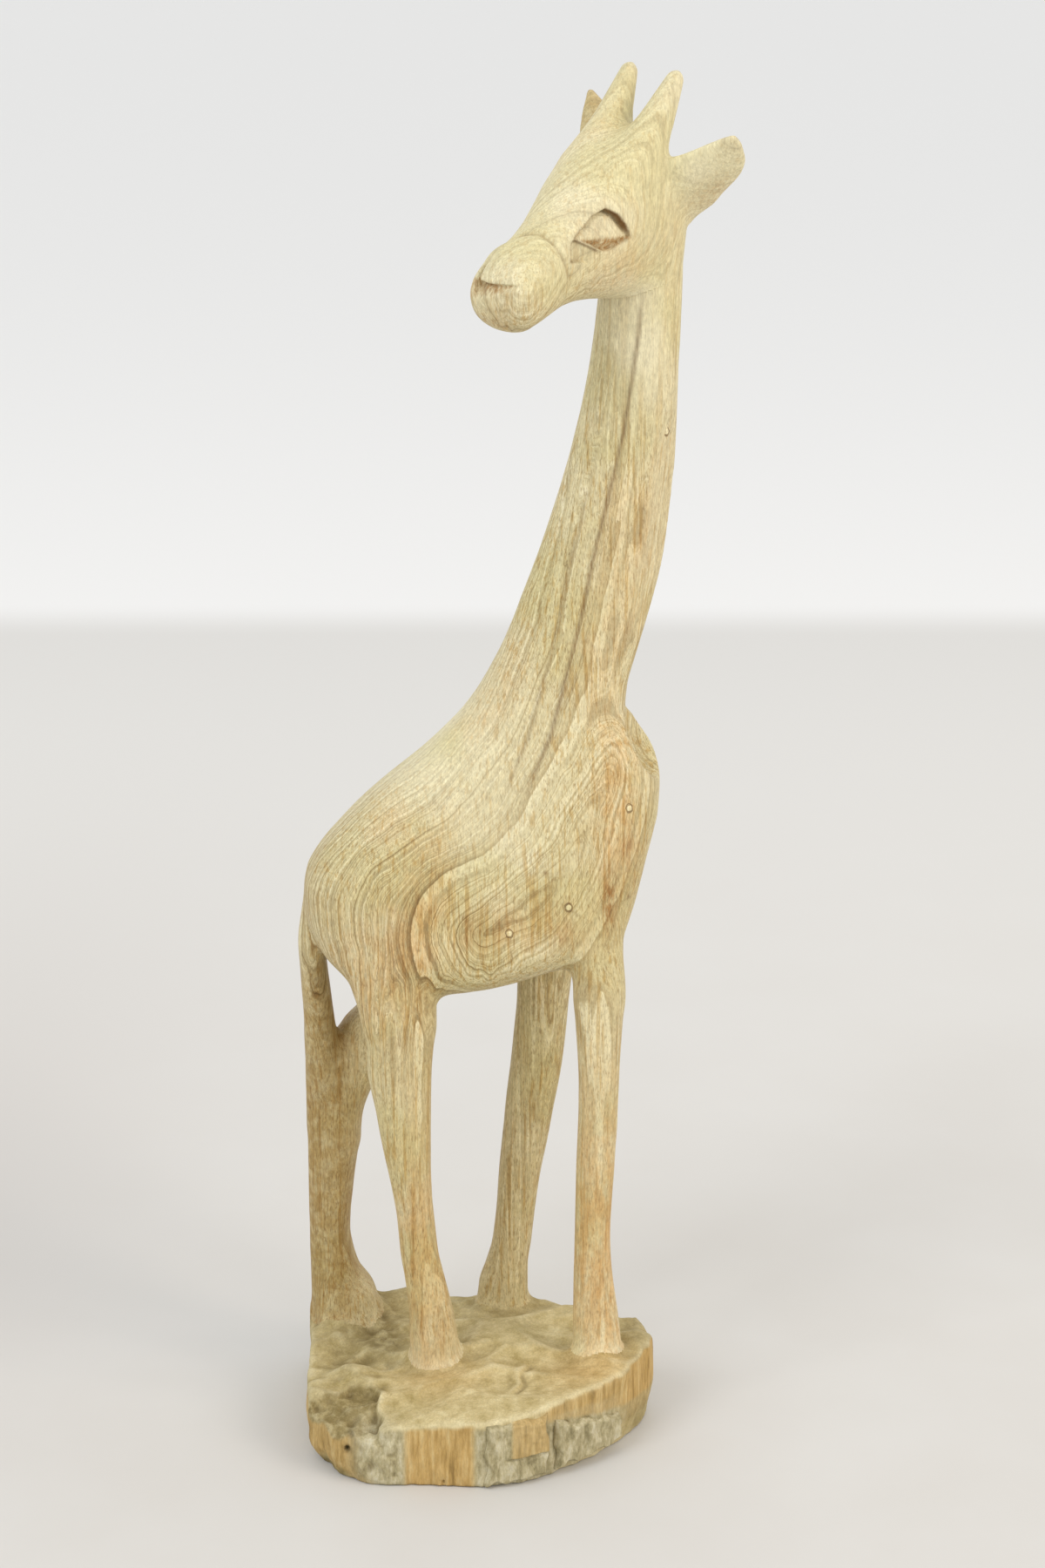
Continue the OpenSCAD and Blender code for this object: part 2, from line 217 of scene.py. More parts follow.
class Grid:
    """A block of space on a square grid, and the field in it."""

    def __init__(self, lo, hi, step):
        self.lo, self.step = np.array(lo, float), step
        n = [int(math.ceil((b - a) / step)) + 1 for a, b in zip(lo, hi)]
        self.axis = [lo[i] + step * np.arange(n[i]) for i in range(3)]
        self.f = np.full(n, 30, np.float32)

    def part(self, lo, hi):
        """The part of the block in a box: slices, and three axes."""
        s = []
        for i in range(3):
            a = max(int((lo[i] - self.lo[i]) / self.step), 0)
            b = min(int((hi[i] - self.lo[i]) / self.step) + 2, len(self.axis[i]))
            s.append(slice(a, max(b, a + 2)))
        P = [self.axis[i][s[i]].reshape([-1 if j == i else 1 for j in range(3)]).astype(np.float32) for i in range(3)]
        return tuple(s), P

    def true(self, d):
        """A rough distance made truer by its own slope."""
        g = np.gradient(d, self.step)
        return d / np.clip(np.sqrt(sum(x * x for x in g)), 0.8, 6)

    def add(self, table, k, at=WORLD, n=2.2, cap=1.5, room=9):
        """Melt one loft into the field, with a fillet k, in its own box."""
        o, A = at
        c = np.array([[r[0], a, b] for r in table for a in r[1:3] for b in r[3:5]]) @ A + o
        lo, hi = c.min(0) - room, c.max(0) + room
        if (lo > [a[-1] for a in self.axis]).any() or (hi < self.lo).any():
            return
        s, P = self.part(lo, hi)
        d = self.true(loft(P, table, at, n, cap))
        self.f[s] = melt(self.f[s], d, k) if k else np.minimum(self.f[s], d)


def skin(f, lo, step):
    """Surface nets: one corner in each cell that the surface crosses, at
    the mean of its crossings, and one face for each crossed grid edge."""
    inside = f < 0
    n = [s - 1 for s in f.shape]
    count = sum(inside[i:n[0] + i, j:n[1] + j, k:n[2] + k].astype(np.int8) for i, j, k in EIGHT)
    cell = np.argwhere((count > 0) & (count < 8))
    index = np.full(n, -1, np.int32)
    index[tuple(cell.T)] = np.arange(len(cell))
    total, hits = np.zeros((len(cell), 3)), np.zeros(len(cell))
    for a in EIGHT:
        for b in EIGHT:
            if a < b and sum(abs(p - q) for p, q in zip(a, b)) == 1:
                fa, fb = (f[tuple((cell + c).T)].astype(float) for c in (a, b))
                cross = (fa < 0) != (fb < 0)
                t = np.where(cross, fa / np.where(cross, fa - fb, 1), 0)
                total += np.where(cross[:, None], np.array(a) + t[:, None] * np.subtract(b, a), 0)
                hits += cross
    v = (cell + total / hits[:, None]) * step + lo
    quads = []
    for ax, (p, q) in enumerate(((1, 2), (2, 0), (0, 1))):
        lower, upper, inner = [slice(None)] * 3, [slice(None)] * 3, [slice(None)] * 3
        lower[ax], upper[ax] = slice(0, -1), slice(1, None)
        inner[p], inner[q] = slice(1, -1), slice(1, -1)
        a, b = inside[tuple(lower)], inside[tuple(upper)]
        e = np.argwhere((a != b)[tuple(inner)])
        e[:, p] += 1
        e[:, q] += 1
        solid = a[tuple(e.T)]
        dp, dq = np.eye(3, dtype=int)[p], np.eye(3, dtype=int)[q]
        f4 = np.stack([index[tuple(c.T)] for c in (e, e - dp, e - dp - dq, e - dq)], 1)
        quads.append(np.where(solid[:, None], f4, f4[:, ::-1]))
    return v, np.concatenate(quads)


def smooth(v, quads, times, keep=None):
    """Each corner moves half way to the mean of its neighbours."""
    e = np.concatenate([quads[:, [i, (i + 1) % 4]] for i in range(4)])
    n = len(v)
    deg = np.bincount(e[:, 0], minlength=n) + np.bincount(e[:, 1], minlength=n)
    for _ in range(times):
        mean = np.stack([(np.bincount(e[:, 0], v[e[:, 1], i], n) + np.bincount(e[:, 1], v[e[:, 0], i], n)) / deg
                         for i in range(3)], 1)
        w = 0.5 if keep is None else 0.5 * (1 - keep)[:, None]
        v = v + (mean - v) * w
    return v


def normals(v, quads):
    """Normals at the corners: the sum of the faces' own, by area."""
    n = np.cross(v[quads[:, 2]] - v[quads[:, 0]], v[quads[:, 3]] - v[quads[:, 1]])
    out = np.stack([sum(np.bincount(quads[:, j], n[:, i], len(v)) for j in range(4)) for i in range(3)], 1)
    return out / np.maximum(np.linalg.norm(out, axis=1, keepdims=True), 1e-9)


# ------------------------------------------------- the carved shapes --

torso, neck = rings("torso"), rings("neck")
trunk = np.vstack([torso, neck[neck[:, 0] > torso[-1, 0] + 0.5]])
belly_z, root_z, jaw_z = trunk[0, 0], torso[-1, 0], trunk[-1, 0]
trunk = reach(trunk, jaw_z + 8, 0.6, 0, 0.93)
trunk = reach(trunk, jaw_z + 15, 1.0, -0.5, 0.85)
SQUARE = ([belly_z, belly_z + 9, belly_z + 24, belly_z + 48, root_z, root_z + 12],
          [2.2, 2.8, 2.9, 2.6, 2.3, 2.2])

base = corners("base_block")
ground = base[base[:, 2] < 0.05][:, :2]
ground = np.unique(np.round(ground, 2), axis=0)
ground = ground[np.argsort(np.arctan2(ground[:, 1], ground[:, 0]))]


def limb(node, low, high):
    """The rings of a limb between two heights, away from its melted ends."""
    r = rings(node)
    return r[(r[:, 0] > low) & (r[:, 0] < high)]


right_hind = limb("right_hind_leg", 21, 101)
right_front = limb("right_front_leg", 21, 108)
left_front = limb("left_front_leg", 20, 104)
heel, thigh = limb("left_hind_leg", 21, 64), limb("left_hind_leg", 85, 104)
tail = limb("tail", 84, 121)

right_hind = reach(reach(right_hind, 112, 0, 2, 1.0), 10, 1.5, -0.6, 1.05)
right_front = reach(reach(right_front, 120, -1, 3, 0.85), 10, 0.5, -0.8, 1.1)
left_front = reach(reach(left_front, 115, 0, -3, 0.85), 10, 0, -0.5, 1.1)
thigh = reach(reach(thigh, 114, 1.5, -3, 0.9), 76, -5.2, 0.3, 1.0)
thigh = reach(thigh, 62, -4.0, 0, 0.62)
thigh[:, 1] += 4.0 * ease(thigh[:, 0], 86, 95) * ease(-thigh[:, 0], -113, -106)
right_hind[:, 1] += 3.6 * np.exp(-(((right_hind[:, 0] - 95.5) / 7.0) ** 2))
heel = reach(reach(reach(heel, 74, -0.3, 0, 0.97), 84, -0.7, -1, 0.72), 10, 1.5, 0, 1.2)
tail = reach(reach(tail, 130, 3.5, 0, 0.95), 72, 1.0, 1.5, 0.9)

# the head's own directions: ahead, to its right, to its crown
turn, droop, lean = (math.radians(a) for a in (44, 20, 6))
ahead = np.array([-math.sin(turn) * math.cos(droop), -math.cos(turn) * math.cos(droop), -math.sin(droop)])
right0 = np.array([math.cos(turn), -math.sin(turn), 0])
crown0 = np.cross(ahead, right0)
rightward = right0 * math.cos(lean) - crown0 * math.sin(lean)
crown = crown0 * math.cos(lean) + right0 * math.sin(lean)
top_ring = neck[-1]
skull = np.array([(top_ring[1] + top_ring[2]) / 2 - 4.4, (top_ring[3] + top_ring[4]) / 2 - 4.75, jaw_z + 13])
HEAD = (skull, np.array([ahead, rightward, crown]))
head = np.array([
    [-11, -5, 5, -8, 9], [-9.5, -8, 8, -12, 13], [-6, -10.8, 10.2, -15, 15.8],
    [0, -12.6, 11.0, -16.2, 16.4], [5, -13.0, 11.0, -15.8, 15.6], [10, -12.2, 10.4, -14.4, 13.6],
    [16, -10.2, 9.0, -11.8, 11.0], [22, -8.4, 7.8, -9.8, 8.6], [27, -7.8, 7.8, -9, 7.0],
    [32, -8.3, 8.2, -9.0, 6.0], [36, -8.2, 7.9, -9.0, 4.3], [38.6, -7.2, 6.4, -8.0, 2.0],
    [40.0, -5.2, 4.2, -6.2, -0.4]])


def in_head(u, v, w):
    """A place from its lengths along the head's own three directions."""
    return skull + u * ahead + v * rightward + w * crown


def line(p, q, facing):
    """A frame at p whose first axis runs to q and whose last is square
    to that and to the facing direction."""
    s = unit(q - p)
    b = unit(np.cross(s, facing))
    return p, np.array([s, np.cross(b, s), b])


def horn(side):
    """A horn: a long taper from deep in the brow to a blunt tip, drawn
    out towards the forehead at its root."""
    at = line(in_head(1.0, side * 4.6, 7.5), in_head(-15, side * 6.0 + 0.5, 24), rightward)
    t = np.array([[0, -4.8, 4.8, -8.0, 4.6], [0.3, -4.4, 4.4, -5.8, 4.3], [0.52, -3.4, 3.4, -4.1, 3.7],
                  [0.78, -2.3, 2.3, -2.6, 2.6], [0.93, -1.65, 1.65, -1.8, 1.8], [1, -1.1, 1.1, -1.2, 1.2]])
    t[:, 0] *= 23.9
    return t, at


def ear(side):
    """A leaf on each side of the skull; the left one stands edge up, so
    its flat is turned to the animal's right."""
    if side > 0:
        at = line(in_head(-6, 7, 2.5), in_head(-13, 18.5, 8.7), crown + 0.5 * ahead)
    else:
        p, q = in_head(-6, -7, 4.5), in_head(-13.2, -15.5, 14.0)
        at = line(p, q, np.cross([0.3, -1, 0.1], unit(q - p)))
    if side > 0:
        t = np.array([[0, -9.0, 7.4, -3.4, 3.4], [0.3, -8.4, 6.9, -2.5, 2.5], [0.5, -6.8, 6.2, -2.0, 2.0],
                      [0.75, -5.0, 5.6, -1.5, 1.5], [0.9, -2.6, 5.2, -1.1, 1.1], [1, 1.8, 4.6, -0.6, 0.6]])
        t[:, 0] *= 19.2
    else:
        t = np.array([[0, -5.0, 4.6, -2.6, 2.6], [0.4, -5.2, 4.6, -2.1, 2.1], [0.7, -3.6, 3.0, -1.6, 1.6],
                      [0.9, -1.5, 1.3, -1.0, 1.0], [1, -0.5, 0.5, -0.5, 0.5]])
        t[:, 0] *= 19
    return t, at


# planes of the chisel on top of the base: point, fall and its bearing
CHISEL = [((2, 0, 17.2), -3.2, 0), ((-14, -20, 15.2), -7, 62), ((-38, -10, 14.2), -22, 20),
          ((34, 0, 19.8), 22, 8), ((-10, 26, 16.8), -14, 262), ((24, -16, 19.0), 14, -38)]


def bowls(X, Y, seed, count, spread, curve_):
    """Gouge work: every cut leaves a shallow dish, longer than wide, and
    the lowest dish wins, so neighbours meet in crisp ridges."""
    rng = np.random.RandomState(seed)
    h = 99.0
    for _ in range(count):
        cx, cy = rng.uniform(-42, 42), rng.uniform(-34, 34)
        t, z, k = rng.uniform(-0.9, 0.9) + 0.3, rng.uniform(0, spread), rng.uniform(0.6, 1.5) * curve_
        a = (X - cx) * math.cos(t) + (Y - cy) * math.sin(t)
        b = -(X - cx) * math.sin(t) + (Y - cy) * math.cos(t)
        h = np.minimum(h, z + k * (0.16 * a * a + b * b))
    return h


def ledge_gap(X, Y):
    """Distance forward of the ragged ledge above the torn corner."""
    return Y + 14.4 + 0.28 * np.abs(X + 27) + 2.2 * lumps([X, Y, 0 * X], (2.8, 9, 9), 22)


def torn(X, Y):
    """1 on the low torn corner at the back left of the base, 0 on the
    chiselled top; it ends in a sharp step across the fibres."""
    wave = 0.9 * lumps([X, Y, 0 * X], (30, 2.6, 9), 21)
    step_ = ease(-(X + 22.4 + 0.1 * (Y + 23) + wave), -0.35, 0.35)
    return step_ * ease(0.8 - ledge_gap(X, Y), -0.3, 0.5)


def base_top(X, Y):
    """Height of the top of the base: the lowest of the chisel's planes,
    dished by the gouge, with the torn corner 2.5 mm lower, then a
    thumb-wide hollow, a splintered pit behind it and a bruised lip."""
    flat = lambda size, seed: lumps([X, Y, 0 * X], size, seed)
    h = 99.0
    for (px, py, pz), fall, bearing in CHISEL:
        t = math.radians(bearing)
        downhill = (X - px) * math.cos(t) + (Y - py) * math.sin(t)
        h = np.minimum(h, pz - math.tan(math.radians(fall)) * downhill)
    calm = ease(-Y, 9, 15) * ease(X, -22, -20)
    h = h + (np.minimum(bowls(X, Y, 5, 64, 2.2, 0.10), 3.2) - 1.3) * (1 - 0.6 * calm)
    h = h - torn(X, Y) * (2.5 - 0.03 * (Y + 24) + 1.1 * flat((3.4, 3.4, 9), 23) + 0.6 * flat((1.4, 1.4, 9), 24))
    h = h - 1.6 * np.exp(-(((X + 30) / 5) ** 2) - (((Y + 1) / 5.5) ** 2))
    pit = np.exp(-(((X + 22) / 4.5) ** 2) - (((Y - 8) / 10) ** 2))
    h = h - pit * (2.0 + 1.3 * flat((2.2, 2.2, 9), 25))
    splinters = ease(-X, 18, 24) * ease(Y, -14, -9)
    h = h - splinters * 0.9 * np.maximum(flat((3.2, 2.0, 9), 26), -0.2)
    slant = X - 9 - 0.2 * (8.8 + Y) + 0.5 * np.sin(Y * 0.9)
    lip = 0.6 * np.exp(-((slant / 0.8) ** 2)) - 0.7 * np.exp(-(((slant - 1.3) / 0.8) ** 2))
    return h + lip * ease(Y, -21, -18) * ease(-Y, 7, 9)


def rim_zones(X, Y, Z):
    """Which part of the rim a place is on: the smooth left end, the
    crumbling knob beside it, the split sapwood and the barked right."""
    knob = np.exp(-(((X + 22.5) / 5.2) ** 4) - (((Z - 7) / 6.5) ** 4)) * ease(-Y, 20, 24)
    split = ease(X, -18, -16) * ease(-Y, -4, 4)
    return knob, split


# holes in the rim, a slot, two nicks and two that insects left: the
# place, half the width and height, how deep, and the reach of its shade
RIM_HOLES = [((17.4, -26, 11.2), (1.3, 0.5), 1.6, (1.5, 0.6)), ((20.4, -25, 4.4), (0.6, 1.1), 1.2, (0.7, 1.1)),
             ((22.9, -23.5, 3.6), (0.6, 1.1), 1.2, (0.7, 1.1)), ((-28.3, -29, 11.5), (0.55, 0.55), 2.0, (0.8, 0.8)),
             ((-29.0, -29, 7.8), (0.55, 0.55), 2.0, (0.8, 0.8))]
SPLIT_NICK = ((-8.1, 0, 1.2), (0.5, 0.8), 1.2, None)     # one more, with no shade


def base_field(P):
    """The billet's end: its split outline, its chiselled top, its rim
    torn into upright ribs, and its flat sawn foot."""
    X, Y, Z = P
    rim = within(X, Y, ground) + 0.9
    bearing = np.arctan2(Y, X) * 34 + 0 * Z
    knob, split = rim_zones(X, Y, Z)
    ribs = 0.30 * lumps([bearing, 0 * X, Z], (1.5, 9, 22), 3) + 0.30 * lumps([bearing, 0 * X, Z], (4, 9, 12), 4)
    rim = rim + ribs * (0.25 + 0.75 * split)
    rim = rim + 0.7 * lumps([X, Y, Z], 9, 8)
    rim = rim - knob * (0.5 + 0.8 * lumps([X, Y, Z], 2.6, 6) + 0.5 * lumps([X, Y, Z], 1.2, 7))
    # the foot is worn round at the left end and undercut at the right
    rim = rim + 2.2 * ease(-X, 20, 38) * ease(-Z, -6, 0) ** 2 + 1.6 * ease(X, 12, 30) * ease(-Z, -9, 0)
    for (sx, _, sz), (wx, wz), deep, _ in RIM_HOLES + [SPLIT_NICK]:
        pit = np.exp(-(((X - sx) / wx) ** 2) - (((Z - sz - 0.25 * (X - sx)) / wz) ** 2))
        rim = rim + deep * pit * ease(-Y, 10, 12)
    top = Z - base_top(X, Y)
    d = -melt(-rim, -top, 1.0)
    return -melt(-d, Z, 0.7)


LENS = (0.86, -0.51)                       # the way the lens on the neck faces


def lens_reach(z):
    """How far out the flat lens on the neck lies at a height: the neck's
    own reach that way, less a bite that swells and dies as a sine."""
    ring = along(trunk, np.asarray(z, float))
    middle = ((ring[:, 0] + ring[:, 1]) * LENS[0] + (ring[:, 2] + ring[:, 3]) * LENS[1]) / 2
    radius = np.hypot((ring[:, 1] - ring[:, 0]) / 2 * LENS[0], (ring[:, 3] - ring[:, 2]) / 2 * LENS[1])
    bite = np.maximum(np.sin(np.clip((z - 181) / 46, 0, 1) * math.pi), 0) ** 0.7
    return middle + radius + 0.05 - 1.6 * bite


def build_body(g):
    """Trunk, legs, tail and base melted together, then the hollow of the
    chest and the shaved lens of the neck taken out."""
    g.add(trunk, 0, n=SQUARE)
    for t, k in ((right_hind, 5), (right_front, 6), (left_front, 6), (thigh, 4)):
        g.add(t, k)
    g.add(heel, 4)
    g.add(tail, 3)
    s, P = g.part((-46, -36, -2), (46, 36, 30))
    g.f[s] = melt(g.f[s], g.true(base_field(P)), 5)
    # the hollow of the chest, between the points of the shoulders
    s, P = g.part((22, -6, 140), (50, 24, 185))
    g.f[s] = carve(g.f[s], blob(P, (38.6, 6.0, 160.5), (8.6, 8.2, 10.6)), 0.7)
    # a long lens shaved flat on the front right of the neck
    s, P = g.part((20, -10, 176), (48, 24, 232))
    flat = LENS[0] * P[0] + LENS[1] * P[1] - lens_reach(P[2].ravel()).reshape(1, 1, -1)
    g.f[s] = -melt(-g.f[s], -flat, 0.35)
    s, P = g.part((-50, -40, -5), (50, 40, 3))
    g.f[s] = np.maximum(g.f[s], 0.02 - P[2])


# the outline of the eye: ahead and up, in the head's own directions
EYE = np.array([[21.2, 4.9], [18.4, 6.0], [15.6, 7.2], [12.6, 7.6], [11.0, 5.9], [10.1, 3.6], [9.5, 0.5],
                [12.0, 0.3], [14.6, -0.1], [16.2, 0.5], [18.4, 2.7]])


# the three-cornered chip in front of and below it
NOOK = np.array([[24.1, 1.5], [22.1, 4.4], [21.2, 4.7], [16.6, 0.1], [20, -0.5]])


def crease(u, v, w):
    """How far ahead of the crease behind the muzzle a place is: a ring
    round the muzzle that slants forward to the left and back below."""
    return u - 25.6 - 4.0 * ease(-v, -2, 7) + 0.22 * np.maximum(-w, 0)


def lips(v, w):
    """Depth of the parting of the lips: a wedge between two planes that
    meet on the right, steep under the upper lip."""
    return np.minimum((2.1 + 0.02 * v - w) * 2.2, (w + 0.2 - 0.34 * v) * 0.9)


def build_head(g):
    """Skull, horns and ears melted on to the neck; then the eyes, the
    crease of the muzzle and the lips cut in."""
    g.add(trunk, 0, n=SQUARE)
    g.add(head, 4.5, HEAD, 2.25, 2.2)
    for side in (-1, 1):
        t, at = horn(side)
        g.add(t, 4.0, at, 2.1, 1.6, 5)
        t, at = ear(side)
        g.add(t, 3.5, at, 2.0, 0.4, 5)
    s, P = g.part(g.lo, [a[-1] for a in g.axis])
    U, V, W = local(P, HEAD)
    cut = np.zeros(U.shape, np.float32)
    # the eye: a steep stop cut round the back and top, and inside it
    # two flat facets that rise to a ridge along the middle of the lid
    edge = -within(U, W, EYE)
    facets = np.abs((W - 4.4) - 0.297 * (U - 20.5)) * 0.32
    stop = 0.40 + 0.95 * ease(-U, -15.5, -11.5) * ease(W, -0.5, 3)
    inside = ease(edge, -0.10, 0.16)
    eye = inside * (stop * (1 - ease(edge, 0.1, 1.5)) + 0.15 + np.minimum(facets, 0.7))
    # a small three-cornered chip in front of and below the eye
    chip = np.minimum(-within(U, W, NOOK), 1.0)
    eye = np.maximum(eye, ease(chip, -0.10, 0.18) * (0.35 + 0.95 * ease(U, 18, 23.5)))
    for side in (1, -1):
        cut += np.where(V * side > 3, eye * ease(V * side, 3.5, 5) * ease(-U, -30, -26), 0)
    # the crease behind the ball of the muzzle, strongest over the nose
    bow = crease(U, V, W)
    cut += (0.55 * ridge(bow, 0.6) - 0.30 * ridge(bow - 2.0, 1.5)) * ease(W, -6, 1)
    # the parting of the lips, open in the middle, and the nostril nick
    # it is a wedge, wide towards the left, with a steep upper lip
    cut += np.clip(lips(V, W), 0, 2.0) * ease(U, 32.5, 35) * ease(V, -5.4, -4.6) * (1 - ease(V, 4.6, 6.0))
    cut += 1.5 * np.exp(-(((V + 4.9) / 0.5) ** 2) - (((W - 2.2) / 2.3) ** 2)) * ease(U, 32, 34)
    g.f[s] = g.f[s] + cut * 0.92


# ------------------------------------------------------ wood's rings --

# a line up the right flank, from the eye of the figure by the belly to
# the throat: the rings lie nested round it
SPINE = np.array([[1.6, 119], [9, 124], [19, 135], [27, 152], [32, 172], [36, 198], [39, 225], [40, 260]], float)


def off_spine(x, z):
    """Distance in the side view to the line of the figure."""
    d = np.full(x.shape, 1e9)
    for (ax, az), (bx, bz) in zip(SPINE[:-1], SPINE[1:]):
        ex, ez = bx - ax, bz - az
        t = np.clip(((x - ax) * ex + (z - az) * ez) / (ex * ex + ez * ez), 0, 1)
        d = np.minimum(d, np.hypot(x - ax - t * ex, z - az - t * ez))
    return np.sqrt(d * d + 4) - 2


def off_seam(x, z):
    """How far ahead of the dusky year that runs up the neck, from the
    shoulder to the throat: x less the seam's own x at that height."""
    return x - np.interp(z, [120, 146.2, 160.7, 186.2, 202.2, 224.6, 243.7, 252],
                         [1, 8.6, 14.5, 21.3, 24.6, 29.8, 32.4, 33.2])


def growth(p):
    """How far out in the tree a point is, in millimetres of radius: the
    pith is far behind the animal's left side, the rings sway, and a
    bulge of the trunk nests them round the line of the figure."""
    x, y, z = p.T
    far = np.hypot(x + 5, 150 - y) - 150
    wx = x + 1.5 * lumps(p.T, (9, 14, 13), 13) + 0.5 * lumps(p.T, (3.2, 6, 4.5), 14)
    wz = z + 1.5 * lumps(p.T, (11, 14, 10), 15) + 0.5 * lumps(p.T, (3.5, 6, 3.5), 16)
    d = off_spine(wx, np.maximum(wz, 113) + 1.5 * np.exp(-np.abs(wz - 113) / 3))
    d = d + (np.minimum(d, 9) - d) * ease(z, 205, 235)
    headward = ease(z, 250, 266)
    r = far - 0.62 * d * (1 - headward) + 0.06 * np.maximum(z - 255, 0)
    # up the legs and the neck the fibres part the rings into long streaks
    upright = (1 - ease(z, 98, 116)) * (0.3 + 0.7 * ease(z, 19, 30)) + ease(z, 165, 195) * (1 - headward)
    flow = [np.where(z > 116, off_seam(x, z), x), y, z]
    r = r + upright * (1.6 * lumps(flow, (2.2, 4.4, 110), 17) + 0.9 * lumps(flow, (1.1, 2.2, 60), 18))
    return r + (1 - 0.5 * headward) * (0.25 * lumps(p.T, (15, 15, 34), 11) + 0.1 * lumps(p.T, (5, 5, 11), 12))


def spot(p, middle, size):
    """A soft patch about a point, from 0 to 1: exp(-distance squared),
    each direction measured in its own size."""
    return np.exp(-sum(((p[:, i] - middle[i]) / size[i]) ** 2 for i in range(3)))


def spots(p, rows):
    """The sum of soft patches: strength, middle and size of each."""
    return sum(strength * spot(p, middle, size) for strength, middle, size in rows)


def ridge(x, width):
    """1 on a line and dying away each side of it: exp(-(x / width)^2)."""
    return np.exp(-((x / width) ** 2))


# patches of tone on the sanded wood: strength, middle and size
WARM = [(0.4, (2, -9, 119), (8, 9, 6)), (0.4, (14, -8, 122), (9, 9, 5)), (0.5, (29, -3, 140), (6, 9, 18)),
        (0.5, (-14, -9, 118), (6, 9, 12)), (0.85, (26, -4, 46), (9, 9, 40)), (0.6, (-14, -6, 40), (9, 9, 34)),
        (0.5, (-24, -7, 108), (12, 8, 16)), (0.08, (36.5, 2, 203), (3.4, 6, 20))]
BROWN = [(0.9, (27.5, -5, 125.5), (1.9, 5, 8)), (0.7, (31.2, -2, 136), (1.2, 5, 4)),
         (0.6, (19, -9, 118), (4, 5, 4)), (0.5, (-2.5, -9, 121), (2, 5, 5))]
# DARK: painted shade at the back of the rump on the far side, and a darker near hind foot
DARK = [(0.35, (-36, 9, 125), (6, 12, 10)), (0.35, (-10, -10, 24), (9, 9, 10))]
# PALE: the top of the back and the throat under the jaw are painted light, paler where the back faces up and to offset
# the head's shadow; the patches on the front leg and flank are paler wood
PALE = [(0.2, (27, -4, 45), (9, 9, 50)), (0.6, (-12, 0, 160), (18, 30, 14)),
        (0.2, (2, -9, 140), (12, 9, 12)), (0.85, (33, -1, 243), (8, 10, 15))]
FIGURE = [(0.8, (-13, -9, 120), (15, 14, 24)), (0.15, (8, -9, 150), (14, 14, 18))]
PIN_KNOTS = [(0.8, (13.9, -9.5, 132.8), (0.6, 4, 0.6)), (0.7, (31.8, -3, 125.1), (0.5, 4, 0.7))]
# the same on the head, in its own directions
MOUTH = [(1.1, (37, 4.0, -3.0), (6, 3.2, 2.6)), (0.9, (37, -1.0, -5.2), (5, 5, 2.2)),
         (0.6, (37, 0, 0.8), (4, 4, 1.0)), (0.35, (-11, 16, 2), (4, 5, 4))]


